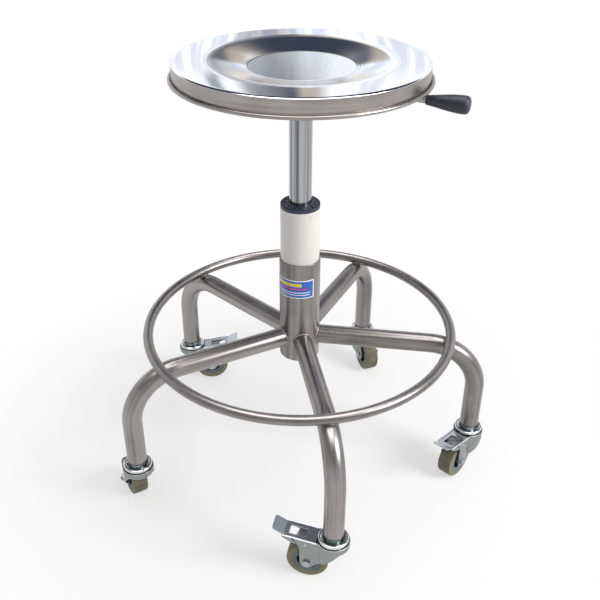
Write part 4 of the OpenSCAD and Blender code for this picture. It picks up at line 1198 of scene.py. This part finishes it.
floor_paint, start = new_finish("floor_paint", {
    "Base Color": (0.94, 0.94, 0.94, 1), "Roughness": 0.9, "Specular IOR Level": 0.1})
place = coordinates(start)
away = place.node("VectorMath", {"operation": "LENGTH"}, {0: place}, "Value")
white = start.node("Emission", {}, {"Color": (1, 1, 1, 1), "Strength": 1.0})
shader = floor_paint.node_tree.nodes["Principled BSDF"]
far_white = start.node("MixShader", {}, {
    0: watched(start) * eased(away, 0.15, 0.6, 0.5, 1.0),
    1: Shade(start.tree, shader.outputs[0]), 2: white})
floor_paint.node_tree.links.new(
    far_white.socket, floor_paint.node_tree.nodes["Material Output"].inputs["Surface"])
floor = solid("floor", [skin(floor_grid, True)], floor_paint)

tent_centre, tent_radius = 560.0, 5000.0
rise = np.radians(np.linspace(-14, 90, 27))[:, None]
tent_section = np.concatenate([tent_radius * np.cos(rise), tent_radius * np.sin(rise)], 1)
tent_section[-1, 0] = 0
bright, pale = (1.42, 1.42, 1.43, 1), (1.12, 1.16, 1.24, 1)
blue_grey, pale_blue_grey = (0.40, 0.44, 0.51, 1), (0.50, 0.53, 0.60, 1)
mid_grey, dark_grey, slate = (0.46, 0.47, 0.49, 1), (0.28, 0.29, 0.33, 1), (0.12, 0.13, 0.18, 1)
sand, cream = (0.64, 0.57, 0.47, 1), (0.80, 0.73, 0.63, 1)
disc_grey, disc_warm_grey = (0.66, 0.69, 0.74, 1), (0.72, 0.72, 0.74, 1)
disc_bright, disc_blue_white = (1.36, 1.42, 1.55, 1), (1.42, 1.46, 1.58, 1)
slat_shade, lower_slat_shade = (0.55, 0.60, 0.70, 1), (0.45, 0.50, 0.60, 1)
low_cream, night = (0.92, 0.88, 0.81, 1), (0.045, 0.055, 0.09, 1)
behind_low, behind_high = (0.80, 0.80, 0.82, 1), (0.34, 0.34, 0.36, 1)
zenith_grey, lamp_white = (0.95, 0.95, 0.97, 1), (5.2, 5.2, 5.2, 1)
card_span = 20.0
tent_light, start = new_finish("tent_light", {})
place = coordinates(start)
x, y, z = axes(place)
high = z - tent_centre * 0.001
elevation = start.maths("ARCTAN2", high, from_axis(x, y)) * (180 / math.pi)
azimuth = start.maths("ARCTAN2", x, y) * (180 / math.pi)
swayed = azimuth + (grain(place, (0.45, 0.45, 1.1), 2.0) - 0.5) * 3.0
on_cards = swayed / card_span + 0.5
cards = start.node("ValToRGB", {"stops": [
    (0.0, bright), (0.085, bright), (0.115, blue_grey), (0.15, pale_blue_grey), (0.18, bright),
    (0.23, bright), (0.29, mid_grey), (0.40, dark_grey), (0.475, slate), (0.51, sand),
    (0.58, cream), (0.63, bright), (0.74, bright), (0.77, pale), (0.82, pale), (0.86, bright)]},
    {0: on_cards})
lower_cards = start.node("ValToRGB", {"stops": [
    (0.0, bright), (0.22, bright), (0.27, disc_grey), (0.45, disc_warm_grey),
    (0.52, disc_bright), (0.75, disc_blue_white), (0.80, bright)]}, {0: on_cards})
slats = grain(start.node("CombineXYZ", {}, {0: swayed, 1: elevation * 0.06}), (1.1, 1, 1), 3.0)
cards = shaded(eased(slats, 0.62, 0.48) * 0.45, cards, slat_shade)
lower_cards = shaded(eased(slats, 0.60, 0.46) * 0.7, lower_cards, lower_slat_shade)
lifted = mixed(eased(elevation, 14.8, 16.6, 1, 0), cards, lower_cards)
low_band = mixed(eased(elevation, 2, 9, 1, 0), lifted, low_cream)
ahead = eased(start.maths("ABSOLUTE", azimuth), 60, 100, 1, 0)
ceiling = mixed(eased(elevation, 23.5, 31) * ahead, low_band, night)
behind = mixed(eased(elevation, 8, 38), behind_low, behind_high)
side_light = mixed(ahead, behind, ceiling)
zenith = mixed(eased(elevation, 66, 80), side_light, zenith_grey)
lit = eased(elevation, 57, 66) * eased(elevation, 76, 84, 1, 0)
overhead = mixed(lit, zenith, lamp_white)
glow = start.node("Emission", {}, {"Color": overhead, "Strength": 1.0})
tent_light.node_tree.links.new(
    glow.socket, tent_light.node_tree.nodes["Material Output"].inputs["Surface"])
tent_grid = turned(tent_section, 96) + np.array([0, 0, tent_centre])
tent = solid("reflection_tent", [skin(tent_grid, True)], tent_light)
tent.visible_camera = tent.visible_diffuse = tent.visible_shadow = False
tent.visible_transmission = tent.visible_volume_scatter = False

ambient = 0.55
world = bpy.data.worlds.new("surrounding")
bpy.context.scene.world = world
world.use_nodes = True
sky = world.node_tree.nodes["Background"]
sky.inputs["Color"].default_value = (1, 1, 1, 1)
strength = watched(Shade(world.node_tree)) * (1 - ambient) + ambient
world.node_tree.links.new(strength.socket, sky.inputs["Strength"])

key = bpy.data.lights.new("soft_lamp", "AREA")
key.shape, key.size, key.energy = "DISK", 1.2, 58
key_lamp = bpy.data.objects.new("soft_lamp", key)
bpy.context.scene.collection.objects.link(key_lamp)
lamp_place, lamp_target = np.array([2.1, -0.9, 1.7]), np.array([0, 0, 0.3])


def standing(place, ahead, roll=0.0):
    """The matrix of a lamp or camera at a place that looks ahead and is rolled about that line."""
    ahead = ahead / np.linalg.norm(ahead)
    right = np.cross(ahead, [0, 0, 1])
    right /= np.linalg.norm(right)
    down = np.cross(ahead, right)
    across = math.cos(roll) * right + math.sin(roll) * down
    below = math.cos(roll) * down - math.sin(roll) * right
    rows = np.stack([across, -below, -ahead, place], -1)
    return Matrix([*rows.tolist(), [0, 0, 0, 1]])


key_lamp.matrix_world = standing(lamp_place, lamp_target - lamp_place)

# Camera
# It stands where the photograph was taken from: in front, a little above the seat, looking down.
camera_place = np.array([0.0, -0.90425, 0.80502])
camera_down, camera_yaw, camera_roll = (math.radians(a) for a in (31.5486, 0.0297, -0.4146))
camera_lens = 47.918
camera_ahead = np.array([math.sin(camera_yaw) * math.cos(camera_down),
                         math.cos(camera_yaw) * math.cos(camera_down), -math.sin(camera_down)])
lens = bpy.data.cameras.new("camera")
lens.lens, lens.sensor_width = camera_lens, 36
camera = bpy.data.objects.new("camera", lens)
bpy.context.scene.collection.objects.link(camera)
camera.matrix_world = standing(camera_place, camera_ahead, camera_roll)
bpy.context.scene.camera = camera
bpy.context.scene.view_settings.view_transform = "Standard"
